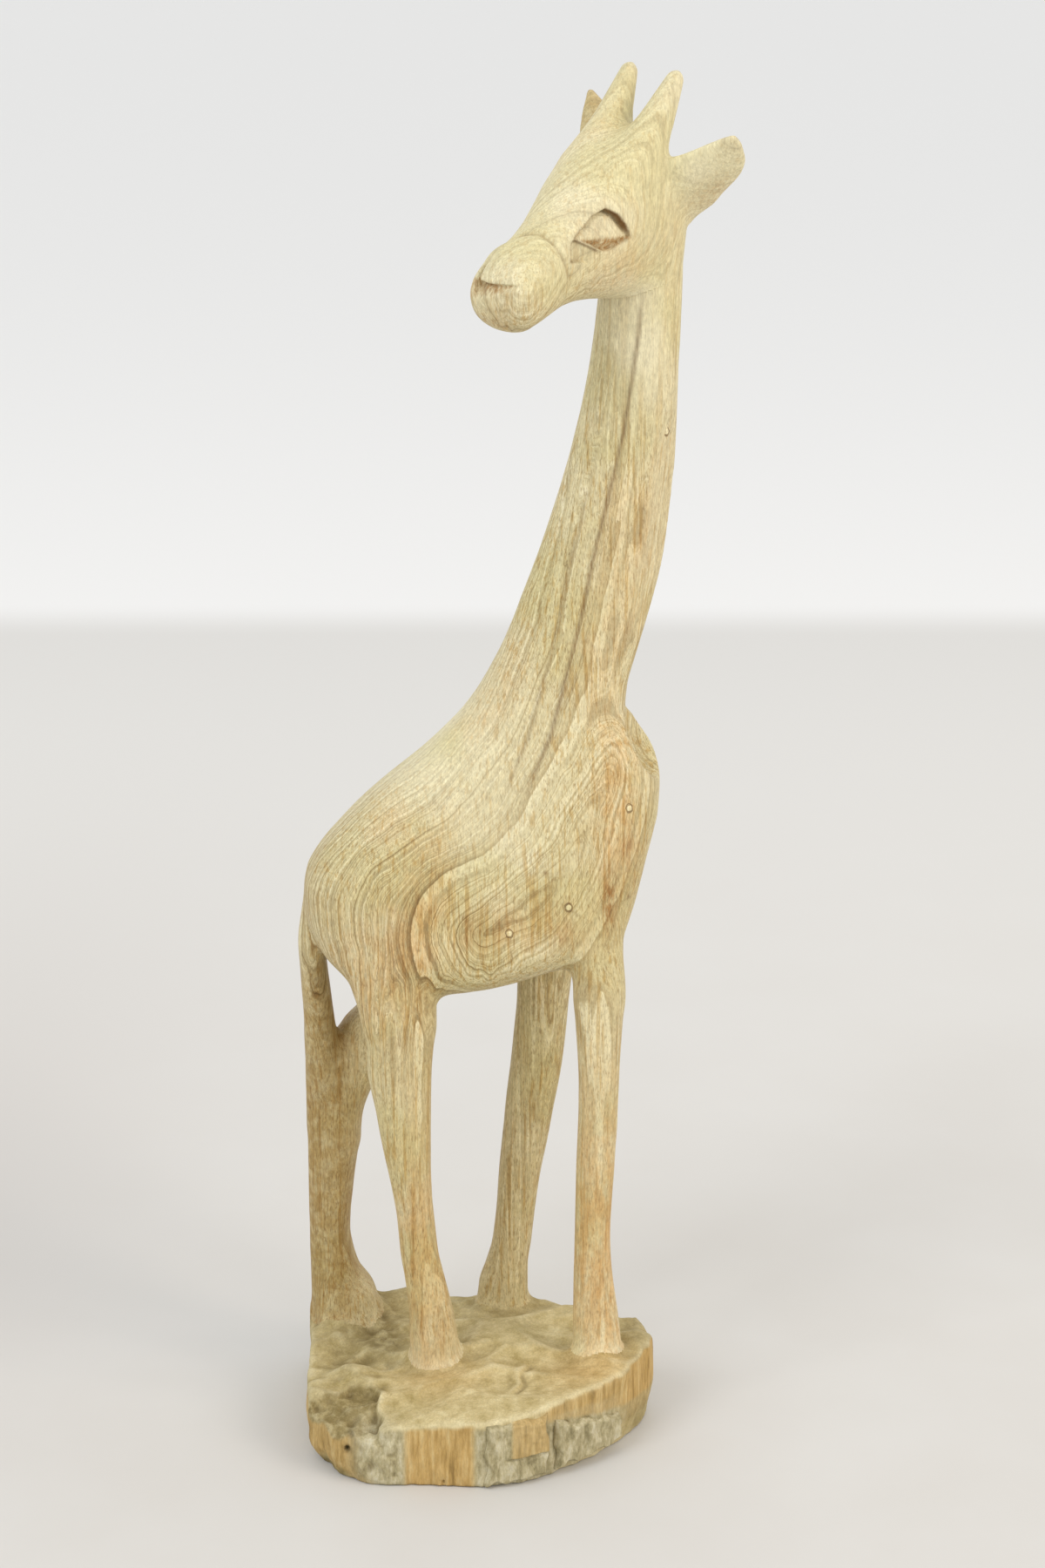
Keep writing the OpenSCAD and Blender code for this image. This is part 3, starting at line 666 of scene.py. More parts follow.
def tones(p):
    """Where the wood is warmer, browner, darker or paler, how strongly
    its years show, and the dark line that a knife leaves: soft patches
    about places, eased in and out across planes.  Part of this is painted
    light and shade: darker on the far side, under the rump and on the far
    ear, paler on the back and on the throat under the jaw, and darker in
    the eye, the crease of the muzzle and the lips, partly painted shade in
    the cuts."""
    x, y, z = p.T
    q = (p - skull) @ HEAD[1].T
    u, v, w = q.T
    top, foot = ease(z, 246, 266), 1 - ease(z, 18.5, 27)
    face = top * ease(np.abs(v), 3.5, 5)
    # the shaved lens on the neck, paler, with a dusky edge
    flat = LENS[0] * x + LENS[1] * y - lens_reach(z)
    span = ease(z, 181, 184) * ease(-z, -228, -224)
    lens = ease(flat, -0.45, -0.15) * span
    warm = spots(p, WARM) + 0.3 * ease(-y, -9, 2) * ease(lumps(p.T, (13, 13, 20), 41), 0.1, 0.8)
    warm = warm + 0.12 * lens + 0.6 * top * spot(q, (13, 11, -7), (9, 7, 6))
    # painted shade: darker under the rump and tail, on the far legs below the belly, and on the far ear
    dark = 0.75 * ease(-x, 24, 33) * ease(-z, -118, -96) + 0.45 * ease(y, 12, 24) * ease(-z, -120, -100)
    dark = dark + spots(p, DARK) + 0.6 * top * ease(-v, 9, 12) * ease(w, 3, 6)
    rim, chip = within(u, w, EYE), within(u, w, NOOK)
    lower = ease(-(w - 4.4) + 0.30 * (u - 20.5), -0.3, 0.6)
    freckles = 0.4 * spot(q, (20, 9, -7), (6, 5, 4)) * ease(lumps(q.T, (2, 3, 2), 42), -0.2, 0.5)
    brown = spots(p, BROWN) + 0.5 * ridge(flat + 0.55, 0.25) * span * ease(-y, -8, 2)
    brown = brown + top * (spots(q, MOUTH) + freckles)
    # brown in the parting of the lips: painted shade in the opening
    brown = brown + 0.8 * top * ease(lips(v, w), 0.1, 0.8) * ease(u, 34, 36) * ease(-v, -5.5, -4)
    # browner inside the eye, most on its lower facet: painted shade
    brown = brown + face * ease(-rim, -0.2, 0.3) * (0.75 * lower + 0.1)
    # knife lines round the eye and its chip, partly painted shade in the
    # cuts and darkest where the stop cut is deepest; the dusky year up the
    # neck, a fainter one behind it; two pin knots; the crease of the muzzle,
    # darkened as painted shade in the crease
    seam = off_seam(x + 0.25 * lumps(p.T, (9, 9, 14), 43), z)
    upneck = ease(-y, -12, 0) * ease(z, 143, 158) * ease(-z, -256, -246)
    lines = [face * ridge(rim, 0.30) * (0.30 + 0.7 * ease(-u, -14.5, -11.5) * ease(w, 0, 3)),
             face * ridge(chip, 0.28) * 0.75 * ease(w, 0.2, 1.5),
             0.70 * upneck * ridge(seam, 0.45),
             0.45 * upneck * ridge(seam + 4.4, 0.4) * ease(-z, -226, -200),
             spots(p, PIN_KNOTS),
             0.30 * top * ridge(crease(u, v, w), 0.35) * ease(w, -4, 2)]
    pale = spots(p, PALE) + 0.45 * top + 0.4 * top * spot(q, (-9, 14, 8), (8, 7, 7))
    pale = pale + 0.45 * foot * ease(-y, -4, 2) + 0.15 * lens
    figure = 0.82 + spots(p, FIGURE) - 0.35 * (1 - ease(z, 80, 100)) - 0.05 * top - 0.4 * foot - 0.25 * lens
    found = {"warm": warm, "dark": dark, "brown": brown, "cut": np.max(lines, 0), "pale": pale}
    return dict({key: np.clip(tone, 0, 1) for key, tone in found.items()}, figure=figure)


def relief_over_smooth(v, quads, n, times):
    """How far each corner stands above the surface smoothed that many
    times, along its normal: positive on ridges, negative in grooves."""
    return ((v - smooth(v, quads, times)) * n).sum(1)


def base_tones(p):
    """The same for the billet's end: orange split sapwood, grey bark
    and weathering, dirt and painted shade in the torn places, the
    thumb-wide hollow, the pit behind it and along the ledge, darker
    towards the left end, the back and the right end, and shade in the
    holes."""
    x, y, z = p.T
    knob, _ = rim_zones(x, y, z)
    side = ease(within(x, y, ground), -2.4, -1.3)
    side = side * ease(base_top(x, y) - z, 0.2, 1.2)
    far_end = ease(x, 28, 32)
    orange = side * (ease(x, -17.5, -15.5) * ease(-x, 0.5, 2.5)
                     + 0.8 * ease(-x, 22, 26) * (1 - knob) * ease(-z, -13, -10)
                     + 0.75 * ease(x, 13, 15) * ease(z - 13 + 0.16 * (x - 14), -0.6, 0.9)
                     + 0.45 * ease(x, 30, 34))
    barked = (ease(x, -2.5, -0.5) + ease(x, -24, -22) * ease(-x, 15.5, 17.5)) * ease(-z, -14.8, -13.6)
    grey = side * barked * (1 - orange) * (1 - 0.8 * far_end) + knob + 0.35 * side * ease(y, 0, 8)
    dark = torn(x, y) * (0.95 + 0.25 * lumps(p.T, 3, 31))
    # painted shade in the pit behind the hollow and in the thumb-wide hollow
    dark = dark + spots(p, [(1.0, (-22, 8, 16), (6, 11, 9)), (0.5, (-31, -2, 15), (4, 4, 9))])
    # darker towards the left end and the back, and on the crumbling knob
    dark = dark + 0.35 * ease(-x, 18, 30) + 0.4 * ease(y, 10, 24) + 0.35 * knob
    # painted shade in a line along the foot of the ragged ledge
    dark = dark + 0.8 * ridge(ledge_gap(x, y), 1.4) * ease(-x, 20, 22) * (1 - side)
    dark = dark + 0.5 * ease(x, 29, 35) + 0.3 * side * ease(x, 28, 33)
    hole = spots(p, [(1, at, (shade[0], 3, shade[1])) for at, _, _, shade in RIM_HOLES])
    warm = spots(p, [(0.6, (25, -12, 18), (12, 10, 9)), (0.45, (-9, -12, 18), (10, 8, 9))])
    found = {"warm": warm, "dark": dark, "orange": orange, "grey": grey, "hole": hole}
    return {key: np.clip(tone, 0, 1) for key, tone in found.items()}


# ------------------------------------------------------------ pieces --

def make(name, v, quads, tris, n, material, paint, wear_and_shade):
    """A mesh object from arrays, in metres, with its own normals on the
    skin, and flat ones on the hidden faces that close it."""
    data = bpy.data.meshes.new(name)
    loops = np.concatenate([quads.ravel(), tris.ravel()]).astype(np.int32)
    starts = np.concatenate([np.arange(len(quads)) * 4, len(quads) * 4 + np.arange(len(tris)) * 3])
    data.vertices.add(len(v))
    data.vertices.foreach_set("co", (v * MM).astype(np.float32).ravel())
    data.loops.add(len(loops))
    data.loops.foreach_set("vertex_index", loops)
    data.polygons.add(len(starts))
    data.polygons.foreach_set("loop_start", starts.astype(np.int32))
    data.update(calc_edges=True)
    data.validate()
    for key, value in dict(paint(v), growth=growth(v), wear_and_shade=wear_and_shade).items():
        a = data.attributes.new(key, "FLOAT", "POINT")
        a.data.foreach_set("value", value.astype(np.float32))
    custom = n[loops].copy()
    hidden = len(quads) * 4
    if len(tris):
        f = np.cross(v[tris[:, 1]] - v[tris[:, 0]], v[tris[:, 2]] - v[tris[:, 0]])
        f = f / np.maximum(np.linalg.norm(f, axis=1, keepdims=True), 1e-9)
        custom[hidden:] = np.repeat(f, 3, axis=0)
    data.shade_smooth()
    data.normals_split_custom_set(custom.tolist())
    obj = bpy.data.objects.new(name, data)
    bpy.context.scene.collection.objects.link(obj)
    data.materials.append(material)
    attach(obj, "root")
    return obj


def closed(v, quads, n, wear_and_shade, chosen):
    """The chosen faces as a closed piece: its open edges are shut by a
    fan to the middle of each loop, sunk a little under the skin."""
    q = quads[chosen]
    e = np.concatenate([q[:, [i, (i + 1) % 4]] for i in range(4)])
    key = e[:, 0] * (len(v) + 1) + e[:, 1]
    back = e[:, 1] * (len(v) + 1) + e[:, 0]
    rim = e[~np.isin(key, back)]
    tris, extra = [], []
    label = np.arange(len(v))
    for _ in range(4000):
        low = np.minimum(label[rim[:, 0]], label[rim[:, 1]])
        new = label.copy()
        np.minimum.at(new, rim[:, 0], low)
        np.minimum.at(new, rim[:, 1], low)
        if (new == label).all():
            break
        label = new
    for k in np.unique(label[rim[:, 0]]):
        r = rim[label[rim[:, 0]] == k]
        c = len(v) + len(extra)
        extra.append(v[r[:, 0]].mean(0))
        tris.append(np.stack([r[:, 1], r[:, 0], np.full(len(r), c)], 1))
    vv = np.vstack([v, extra]) if extra else v
    nn = np.vstack([n, np.tile([0, 0, 1.0], (len(extra), 1))]) if extra else n
    ww = np.append(wear_and_shade, np.zeros(len(extra)))
    t = np.concatenate(tris) if tris else np.zeros((0, 3), int)
    used = np.unique(np.concatenate([q.ravel(), t.ravel()]))
    remap = np.full(len(vv), -1)
    remap[used] = np.arange(len(used))
    return vv[used], remap[q], remap[t], nn[used], ww[used]


def hexcol(h):
    """An sRGB hex colour to linear: each channel through the sRGB curve."""
    c = [int(h[i:i + 2], 16) / 255 for i in (1, 3, 5)]
    return tuple(x / 12.92 if x <= 0.04045 else ((x + 0.055) / 1.055) ** 2.4 for x in c) + (1,)


def add(tree, kind, feeds, out=0, stops=(), **settings):
    """One node with its settings and links: a feed that is a socket is
    linked, a hex colour is made linear, anything else is the socket's own
    value.  Gives back the output that is asked for."""
    node = tree.nodes.new("ShaderNode" + kind)
    for key, setting in settings.items():
        setattr(node, key, setting)
    for key, feed in feeds.items():
        if isinstance(feed, bpy.types.NodeSocket):
            tree.links.new(feed, node.inputs[key])
        else:
            node.inputs[key].default_value = hexcol(feed) if isinstance(feed, str) else feed
    for i, (place, colour) in enumerate(stops):
        mark = node.color_ramp.elements[i] if i < 2 else node.color_ramp.elements.new(place)
        mark.position, mark.color = place, hexcol(colour)
    return node.outputs[out] if node.outputs else None


def blank(name):
    """An empty material, and the object's coordinates in millimetres."""
    material = bpy.data.materials.new(name)
    material.use_nodes = True
    t = material.node_tree
    t.nodes.clear()
    return material, t, add(t, "Mapping", {0: add(t, "TexCoord", {}, "Object"), "Scale": (1000, 1000, 1000)})


def waxed_wood(name, pale, mid, deep, dusk, rough):
    """Hardwood, carved along the grain, sanded and rubbed with wax.  The
    eye gets: annual rings a millimetre or so apart cut open by the
    curves, as 1D noise of the growth radius; now and then a dark year;
    fibres 0.4 mm and open vessels 0.25 mm wide, drawn out upright; a
    dull sheen, with no gloss."""
    material, t, mm = blank(name)
    smoothly, tinted = {"interpolation_type": "SMOOTHSTEP"}, {"data_type": "RGBA"}
    mark = {key: add(t, "Attribute", {}, "Fac", attribute_name=key)
            for key in ("growth", "figure", "pale", "wear_and_shade", "cut", "warm", "brown", "dark")}
    # noises through the wood: how they are drawn out, octaves, roughness
    grain = {}
    for key, size, detail, jag in (("sway", (0.9, 0.9, 0.9), 2, 0.6), ("here", (0.07, 0.07, 0.07), 2, 0.5),
                                   ("fibre", (2.4, 2.4, 0.42), 4, 0.75), ("vessel", (4.2, 4.2, 0.75), 1, 0.5),
                                   ("streak", (1.1, 1.1, 0.035), 3, 0.65), ("drift", (0.045, 0.045, 0.045), 2, 0.5),
                                   ("warm", (0.5, 0.5, 0.15), 4, 0.66), ("brown", (1.4, 1.4, 0.3), 4, 0.66),
                                   ("dark", (0.35, 0.35, 0.35), 4, 0.66), ("curl", (1.3, 1.3, 0.8), 3, 0.65)):
        drawn = add(t, "Mapping", {0: mm, "Scale": size})
        grain[key] = add(t, "TexNoise", {"Vector": drawn, "Scale": 1.0, "Detail": detail, "Roughness": jag})
    # noises of the growth radius: broad and thin years, and late wood
    radius = add(t, "Math", {0: grain["sway"], 1: 0.3, 2: mark["growth"]}, operation="MULTIPLY_ADD")
    wide, thin, late = (add(t, "TexNoise", {"W": radius, "Scale": size, "Detail": detail, "Roughness": jag},
                            noise_dimensions="1D")
                        for size, detail, jag in ((0.33, 1, 0.5), (1.35, 3, 0.75), (0.55, 2, 0.6)))
    years = add(t, "Math", {0: add(t, "Mix", {0: 0.74, 2: wide, 3: thin}), 1: 0.5}, operation="SUBTRACT")
    years = add(t, "Math", {0: years, 1: mark["figure"], 2: 0.51}, operation="MULTIPLY_ADD")
    colour = add(t, "ValToRGB", {0: years},
                 stops=[(0.34, dusk), (0.62, "#ded4ae"), (0.40, deep), (0.47, mid), (0.55, pale)])
    # every noise runs from one strength to another between two levels
    part = {}
    for key, low, high, least, most in (("here", 0.35, 0.6, 0.1, 0.42), ("streak", 0.50, 0.66, 0.0, 0.7),
                                        ("vessel", 0.53, 0.70, 0.0, 0.55), ("drift", 0.42, 0.66, 0.0, 0.5),
                                        ("warm", 0.35, 0.6, 0.25, 1.0), ("brown", 0.38, 0.6, 0.2, 1.0),
                                        ("dark", 0.32, 0.6, 0.55, 1.0), ("curl", 0.3, 0.7, 0.95, 1.12),
                                        ("fibre", 0.3, 0.7, -0.13, 0.13)):
        part[key] = add(t, "MapRange", {0: grain[key], 1: low, 2: high, 3: least, 4: most}, **smoothly)
    # a dark year: a thin line where a slower noise crosses its middle
    late = add(t, "Math", {0: late, 1: 0.5, 2: 0.022}, operation="COMPARE")
    for force in (part["here"], mark["figure"]):
        late = add(t, "Math", {0: late, 1: force}, operation="MULTIPLY")
    # the grooves darkened: partly dirt, partly painted shade where shade falls in them
    groove_dirt_and_shade = add(t, "MapRange", {0: mark["wear_and_shade"], 1: -0.05, 2: -0.35, 3: 0.0, 4: 0.5})
    for key in ("warm", "brown", "dark"):
        part[key] = add(t, "Math", {0: mark[key], 1: part[key]}, operation="MULTIPLY")
    # laid over each other: late years, streaks, open vessels, paled and
    # greener drifts, the paling partly painted light, warm heart-side wood,
    # scorched fibres with painted shade in the eye and the lips, darkening
    # that is painted shade on the far side, under the rump and on the far ear,
    # with a darker hind foot and the dark edge of the wax dabs, grooves
    # darkened as dirt and painted shade, knife lines partly painted shade in
    # the cuts
    for amount, tint, blend in ((late, dusk, "MIX"), (part["streak"], "#dcc08a", "MULTIPLY"),
                                (part["vessel"], "#94794c", "MIX"), (mark["pale"], "#e4dcb9", "MIX"),
                                (part["drift"], "#eae8c8", "MULTIPLY"), (part["warm"], "#f7d2a8", "MULTIPLY"),
                                (part["brown"], "#c2904f", "MULTIPLY"), (part["dark"], "#c2a770", "MULTIPLY"),
                                (groove_dirt_and_shade, "#8a6a3c", "MIX"), (mark["cut"], "#6d4d26", "MIX")):
        colour = add(t, "Mix", {0: amount, 6: colour, 7: tint}, 2, blend_type=blend, **tinted)
    # light and shade of the fibres themselves
    shade = add(t, "Math", {0: part["fibre"], 1: part["curl"]}, operation="ADD")
    colour = add(t, "VectorMath", {0: colour, 1: shade}, operation="MULTIPLY")
    sheen = add(t, "MapRange", {0: grain["fibre"], 1: 0.3, 2: 0.7, 3: rough + 0.07, 4: rough - 0.07}, **smoothly)
    height = add(t, "Math", {0: grain["vessel"], 1: -0.9, 2: grain["fibre"]}, operation="MULTIPLY_ADD")
    bump = add(t, "Bump", {"Height": height, "Strength": 0.5, "Distance": 0.00022})
    skin_ = add(t, "BsdfPrincipled", {"Base Color": colour, "Roughness": sheen, "Normal": bump, "IOR": 1.48,
                                      "Specular IOR Level": 0.35})
    add(t, "OutputMaterial", {"Surface": skin_})
    return material


def chiselled_wood(name):
    """The billet's end, cut with an axe and a gouge and left raw.  The eye
    gets: dull matt wood, paler on the ridges, as rubbed wear and painted
    highlight, and dirty and darker in the grooves, as painted shade; split
    orange sapwood in upright strips a millimetre wide round the rim; grey
    bark and weathering; no sheen at all."""
    material, t, mm = blank(name)
    smoothly, tinted = {"interpolation_type": "SMOOTHSTEP"}, {"data_type": "RGBA"}
    mark = {key: add(t, "Attribute", {}, "Fac", attribute_name=key)
            for key in ("growth", "warm", "wear_and_shade", "dark", "orange", "grey", "hole")}
    grain = {}
    for key, size, detail, jag in (("fibre", (2.4, 2.4, 0.5), 4, 0.75), ("cloud", (0.22, 0.22, 0.22), 6, 0.7),
                                   ("sway", (0.25, 0.25, 0.25), 2, 0.5), ("dirt_and_shade", (0.3, 0.3, 0.3), 5, 0.7),
                                   ("strip", (0.9, 0.9, 0.09), 3, 0.6), ("crust", (0.5, 0.5, 0.25), 6, 0.68)):
        drawn = add(t, "Mapping", {0: mm, "Scale": size})
        grain[key] = add(t, "TexNoise", {"Vector": drawn, "Scale": 1.0, "Detail": detail, "Roughness": jag})
    radius = add(t, "Math", {0: grain["sway"], 1: 4.0, 2: mark["growth"]}, operation="MULTIPLY_ADD")
    years = add(t, "TexNoise", {"W": radius, "Scale": 0.9, "Detail": 2.0, "Roughness": 0.6}, noise_dimensions="1D")
    years = add(t, "MapRange", {0: years, 1: 0.36, 2: 0.5, 3: 0.3, 4: 0.0}, **smoothly)
    shade = add(t, "MapRange", {0: grain["fibre"], 1: 0.3, 2: 0.7, 3: 0.87, 4: 1.12}, **smoothly)
    dirt_and_shade = add(t, "MapRange", {0: grain["dirt_and_shade"], 1: 0.36, 2: 0.60, 3: 0.45, 4: 1.0}, **smoothly)
    dirt_and_shade = add(t, "Math", {0: dirt_and_shade, 1: mark["dark"]}, operation="MULTIPLY")
    # ridges paler and grooves darker by their height over the smoothed skin: rubbed wear and dirt, with painted
    # highlight and painted shade
    ridge_wear_and_highlight = add(t, "MapRange", {0: mark["wear_and_shade"], 1: 0.03, 2: 0.35, 3: 0.0, 4: 0.4})
    groove_dirt_and_shade = add(t, "MapRange", {0: mark["wear_and_shade"], 1: -0.05, 2: -0.45, 3: 0.0, 4: 0.75})
    # raw wood, split sapwood and bark, each from dark to light
    colour, sap, bark = (add(t, "ValToRGB", {0: grain[key]}, stops=stops) for key, stops in (
        ("cloud", [(0.32, "#a4935f"), (0.68, "#d6c99c"), (0.44, "#b9a877"), (0.56, "#c8b889")]),
        ("strip", [(0.30, "#967a48"), (0.68, "#cfb57e"), (0.42, "#b29258"), (0.54, "#c1a167")]),
        ("crust", [(0.32, "#857b59"), (0.7, "#cfc8ad"), (0.45, "#a99e79"), (0.58, "#c2b896")])))
    # laid over each other: years, warm wood, ridges rubbed pale and given a
    # painted highlight, dirt with painted shade in the hollows, sapwood, bark,
    # shadowed fuzz in the grooves as dirt and painted shade, and painted shade
    # in the holes
    for amount, tint, blend in ((years, "#a8976a", "MIX"), (mark["warm"], "#f8dcb8", "MULTIPLY"),
                                (ridge_wear_and_highlight, "#e2d7b0", "MIX"), (dirt_and_shade, "#86764b", "MIX"), (mark["orange"], sap, "MIX"),
                                (mark["grey"], bark, "MIX"), (groove_dirt_and_shade, "#6f5f3a", "MIX"),
                                (mark["hole"], "#3a2e1c", "MIX")):
        colour = add(t, "Mix", {0: amount, 6: colour, 7: tint}, 2, blend_type=blend, **tinted)
    colour = add(t, "VectorMath", {0: colour, 1: shade}, operation="MULTIPLY")
    height = add(t, "Math", {0: grain["fibre"], 1: 0.7, 2: grain["crust"]}, operation="MULTIPLY_ADD")
    bump = add(t, "Bump", {"Height": height, "Strength": 0.5, "Distance": 0.0004})
    skin_ = add(t, "BsdfPrincipled", {"Base Color": colour, "Normal": bump, "Roughness": 0.8, "IOR": 1.48,
                                      "Specular IOR Level": 0.2})
    add(t, "OutputMaterial", {"Surface": skin_})
    return material


# a pale green-grey hardwood; raw sapwood; wax that was dabbed in while
# soft and took the wood's own dust
sanded = waxed_wood("sanded_waxed_hardwood", "#d6cba2", "#c9bb8f", "#b3a277", "#8f7e57", 0.52)
rough = chiselled_wood("chiselled_sapwood")
filler = waxed_wood("pale_wax_filler", "#ecdfb2", "#e6d7a8", "#d8c48e", "#c4ae78", 0.6)

# ------------------------------------------------------- the carving --

body = Grid((-44, -36, -2), (46, 36, jaw_z + 9), FINE)
build_body(body)
# the top of the block is closed off above the parting plane of the neck
v, quads = skin(np.pad(body.f, ((0, 0), (0, 0), (0, 1)), constant_values=9), body.lo, body.step)
v = smooth(v, quads, 2)
nv = normals(v, quads)
on_base = ease(-v[:, 2], -24, -19)
splintered = np.clip(torn(v[:, 0], v[:, 1]) + spot(v, (-22, 11, 16), (6, 9, 9)), 0, 1)
relief = (0.10 * lumps(v.T, (7, 7, 12), 1) + 0.05 * lumps(v.T, (3, 3, 5), 2)) * (1 - on_base)
relief = relief + on_base * 0.07 * lumps(v.T, (1.8, 1.8, 4), 5) * ease(v[:, 2], 0.4, 1.5)
relief = relief + on_base * 0.3 * lumps(v.T, (1.5, 1.5, 2), 6) * splintered
v = v + nv * relief[:, None]
v = np.clip(v, np.array(cad_lo) / MM, np.array(cad_hi) / MM)
nv = normals(v, quads)
# the height over the smoothed skin; the materials paint the ridges paler, as rubbed wear and painted highlight, and the
# grooves darker, as dirt and painted shade
wear_and_shade = relief_over_smooth(v, quads, nv, 24) * 0.5 / FINE

PART = unit([-0.25, -0.25, 1.0])
part_at = np.array([33, 9, jaw_z])
mid = v[quads].mean(1)
P = list(mid.T)
names = ["torso", "right_hind_leg", "right_front_leg", "left_front_leg", "left_hind_leg", "tail", "base_block"]
d = [loft(P, trunk, n=SQUARE)] + [loft(P, t) for t in (right_hind, right_front, left_front)]
d.append(np.minimum(loft(P, heel), loft(P, thigh)))
d.append(loft(P, tail) + np.where(mid[:, 2] < 83, 9, 0))
d.append(np.where(mid[:, 2] < base_top(mid[:, 0], mid[:, 1]) + 1.2, -5.0, 9.0))
who = np.argmin(np.array(d), 0)
labels = np.array(names, object)[who]
labels[(labels == "torso") & (mid[:, 2] > root_z)] = "neck"
above = (mid - part_at) @ PART
keep = above < 0.6

for name in names + ["neck"]:
    chosen = (labels == name) & keep
    vv, q, t, n, ww = closed(v, quads, nv, wear_and_shade, chosen)
    is_base = name == "base_block"
    material, paint = (rough, base_tones) if is_base else (sanded, tones)
    obj = make(name.replace("_block", "") + "_carved", vv, q, t, n, material, paint, ww)
    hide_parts(name)

crest = Grid((-4, -29, jaw_z - 13), (56, 26, 301), FINER)
build_head(crest)
hv, hq = skin(np.pad(crest.f, ((0, 0), (0, 0), (1, 0)), constant_values=9), crest.lo - [0, 0, crest.step], crest.step)
hv = smooth(hv, hq, 1)
hn = normals(hv, hq)
hv = hv + hn * (0.07 * lumps(hv.T, (6, 6, 9), 1) + 0.03 * lumps(hv.T, (2.5, 2.5, 4), 2))[:, None]
hn = normals(hv, hq)
wear_and_shade = relief_over_smooth(hv, hq, hn, 16) * 0.34 / FINER
mid = hv[hq].mean(1)
P = list(mid.T)
names = ["head", "right_horn", "left_horn", "right_ear", "left_ear"]
d = [np.minimum(loft(P, head, HEAD, 2.25, 2.2), loft(P, trunk, n=SQUARE)) + 0.6]
for shape in (horn, ear):
    for side in (1, -1):
        t, at = shape(side)
        d.append(loft(P, t, at, 2.0, 0.7))
labels = np.array(names, object)[np.argmin(np.array(d), 0)]
keep = (mid - part_at) @ PART > -0.6
for name in names:
    vv, q, t, n, ww = closed(hv, hq, hn, wear_and_shade, (labels == name) & keep)
    obj = make(name + "_carved", vv, q, t, n, sanded, tones, ww)
    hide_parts(name)


def patch_mesh(name, node, outer, inner, material, paint, closed_round=False):
    """A closed shell between two grids of points: an outer face, an inner
    face, and the strip that joins their edges (or, when the grid goes
    round, the strip along its first row only)."""
    rows, cols = outer.shape[:2]
    v = np.concatenate([outer.reshape(-1, 3), inner.reshape(-1, 3)])
    m = rows * cols
    i, j = np.meshgrid(np.arange(rows - 1), np.arange(cols if closed_round else cols - 1), indexing="ij")
    a, b = (i * cols + j).ravel(), (i * cols + (j + 1) % cols).ravel()
    c, d = ((i + 1) * cols + (j + 1) % cols).ravel(), ((i + 1) * cols + j).ravel()
    q = [np.stack([a, b, c, d], 1), np.stack([d + m, c + m, b + m, a + m], 1)]
    def strip(e):
        """Quads between one run of outer corners and the same of inner."""
        p, r = e[:-1], e[1:]
        q.append(np.stack([r, p, p + m, r + m], 1))
    k = np.arange(cols)
    k = np.append(k, 0) if closed_round else k
    if closed_round:
        strip(k)
        strip((k + (rows - 1) * cols)[::-1])
    else:
        strip(np.concatenate([k, np.arange(1, rows) * cols + cols - 1, (rows - 1) * cols + np.arange(cols - 1)[::-1],
                              np.arange(rows - 1)[::-1] * cols]))
    quads = np.concatenate(q)
    nn = normals(v, quads)
    obj = make(name, v, quads, np.zeros((0, 3), int), nn, material, paint, np.zeros(len(v)))
    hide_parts(node)
    return obj


def rim_line(x):
    """The front of the rim by x: where the outline runs, its outward
    direction, from the corners of the base's foot."""
    front = ground[ground[:, 1] < 4]
    front = front[np.argsort(front[:, 0])]
    y = np.interp(x, front[:, 0], front[:, 1])
    slope = (np.interp(x + 1.5, front[:, 0], front[:, 1]) - np.interp(x - 1.5, front[:, 0], front[:, 1])) / 3
    out = np.stack([slope, -np.ones_like(slope)], -1)
    return y, out / np.linalg.norm(out, axis=-1, keepdims=True)


def bark_scale(name, node, x0, x1, low, high, tone, lift, seed):
    """A torn scale of bark: a grid along the rim and up, its four edges
    ragged, its thickness dying away to them, its face crazed."""
    cols, rows = 90, 80
    s_, t_ = np.meshgrid(np.linspace(0, 1, cols), np.linspace(0, 1, rows))
    x = x0 + (x1 - x0) * s_
    rag = lambda a, k, size: k * lumps([a * 40, 0 * a + seed, 0 * a], (size, 9, 9), seed)
    x = x + rag(t_, 0.9, 9) * (1 - s_) + rag(t_ + 3, 0.9, 7) * s_
    zl, zh = low(x) + rag(s_, 0.8, 6), high(x) + rag(s_ + 5, 0.9, 5)
    z = zl + (zh - zl) * t_
    y, out = rim_line(x)
    edge = np.minimum(np.minimum(s_, 1 - s_) * (x1 - x0), np.minimum(t_, 1 - t_) * (zh - zl))
    body_ = ease(edge, -0.1, 0.8)
    pts = [x, y, z]
    relief_ = 0.28 * lumps(pts, (1.7, 9, 3.2), seed + 1) + 0.16 * lumps(pts, (0.7, 9, 1.1), seed + 2)
    thick = -0.7 + body_ * (1.05 + relief_ + lift(x, z))
    thick = np.minimum(thick, 0.95)
    outer = np.stack([x + out[..., 0] * thick, y + out[..., 1] * thick, z], -1)
    inner = np.stack([x - out[..., 0] * 1.9, y - out[..., 1] * 1.9, z], -1)
    def paint(p):
        """Tan where the tone says so, grey elsewhere, dark in patches."""
        tan, grey = tone(p[:, 0], p[:, 2])
        dark = 0.6 * ease(lumps(p.T, (1.6, 3, 2.6), seed + 5), 0.2, 0.8)
        base_ = np.zeros(len(p))
        return {"warm": base_, "dark": dark * grey, "orange": tan, "grey": grey, "hole": base_}
    return patch_mesh(name, node, outer, inner, rough, paint)


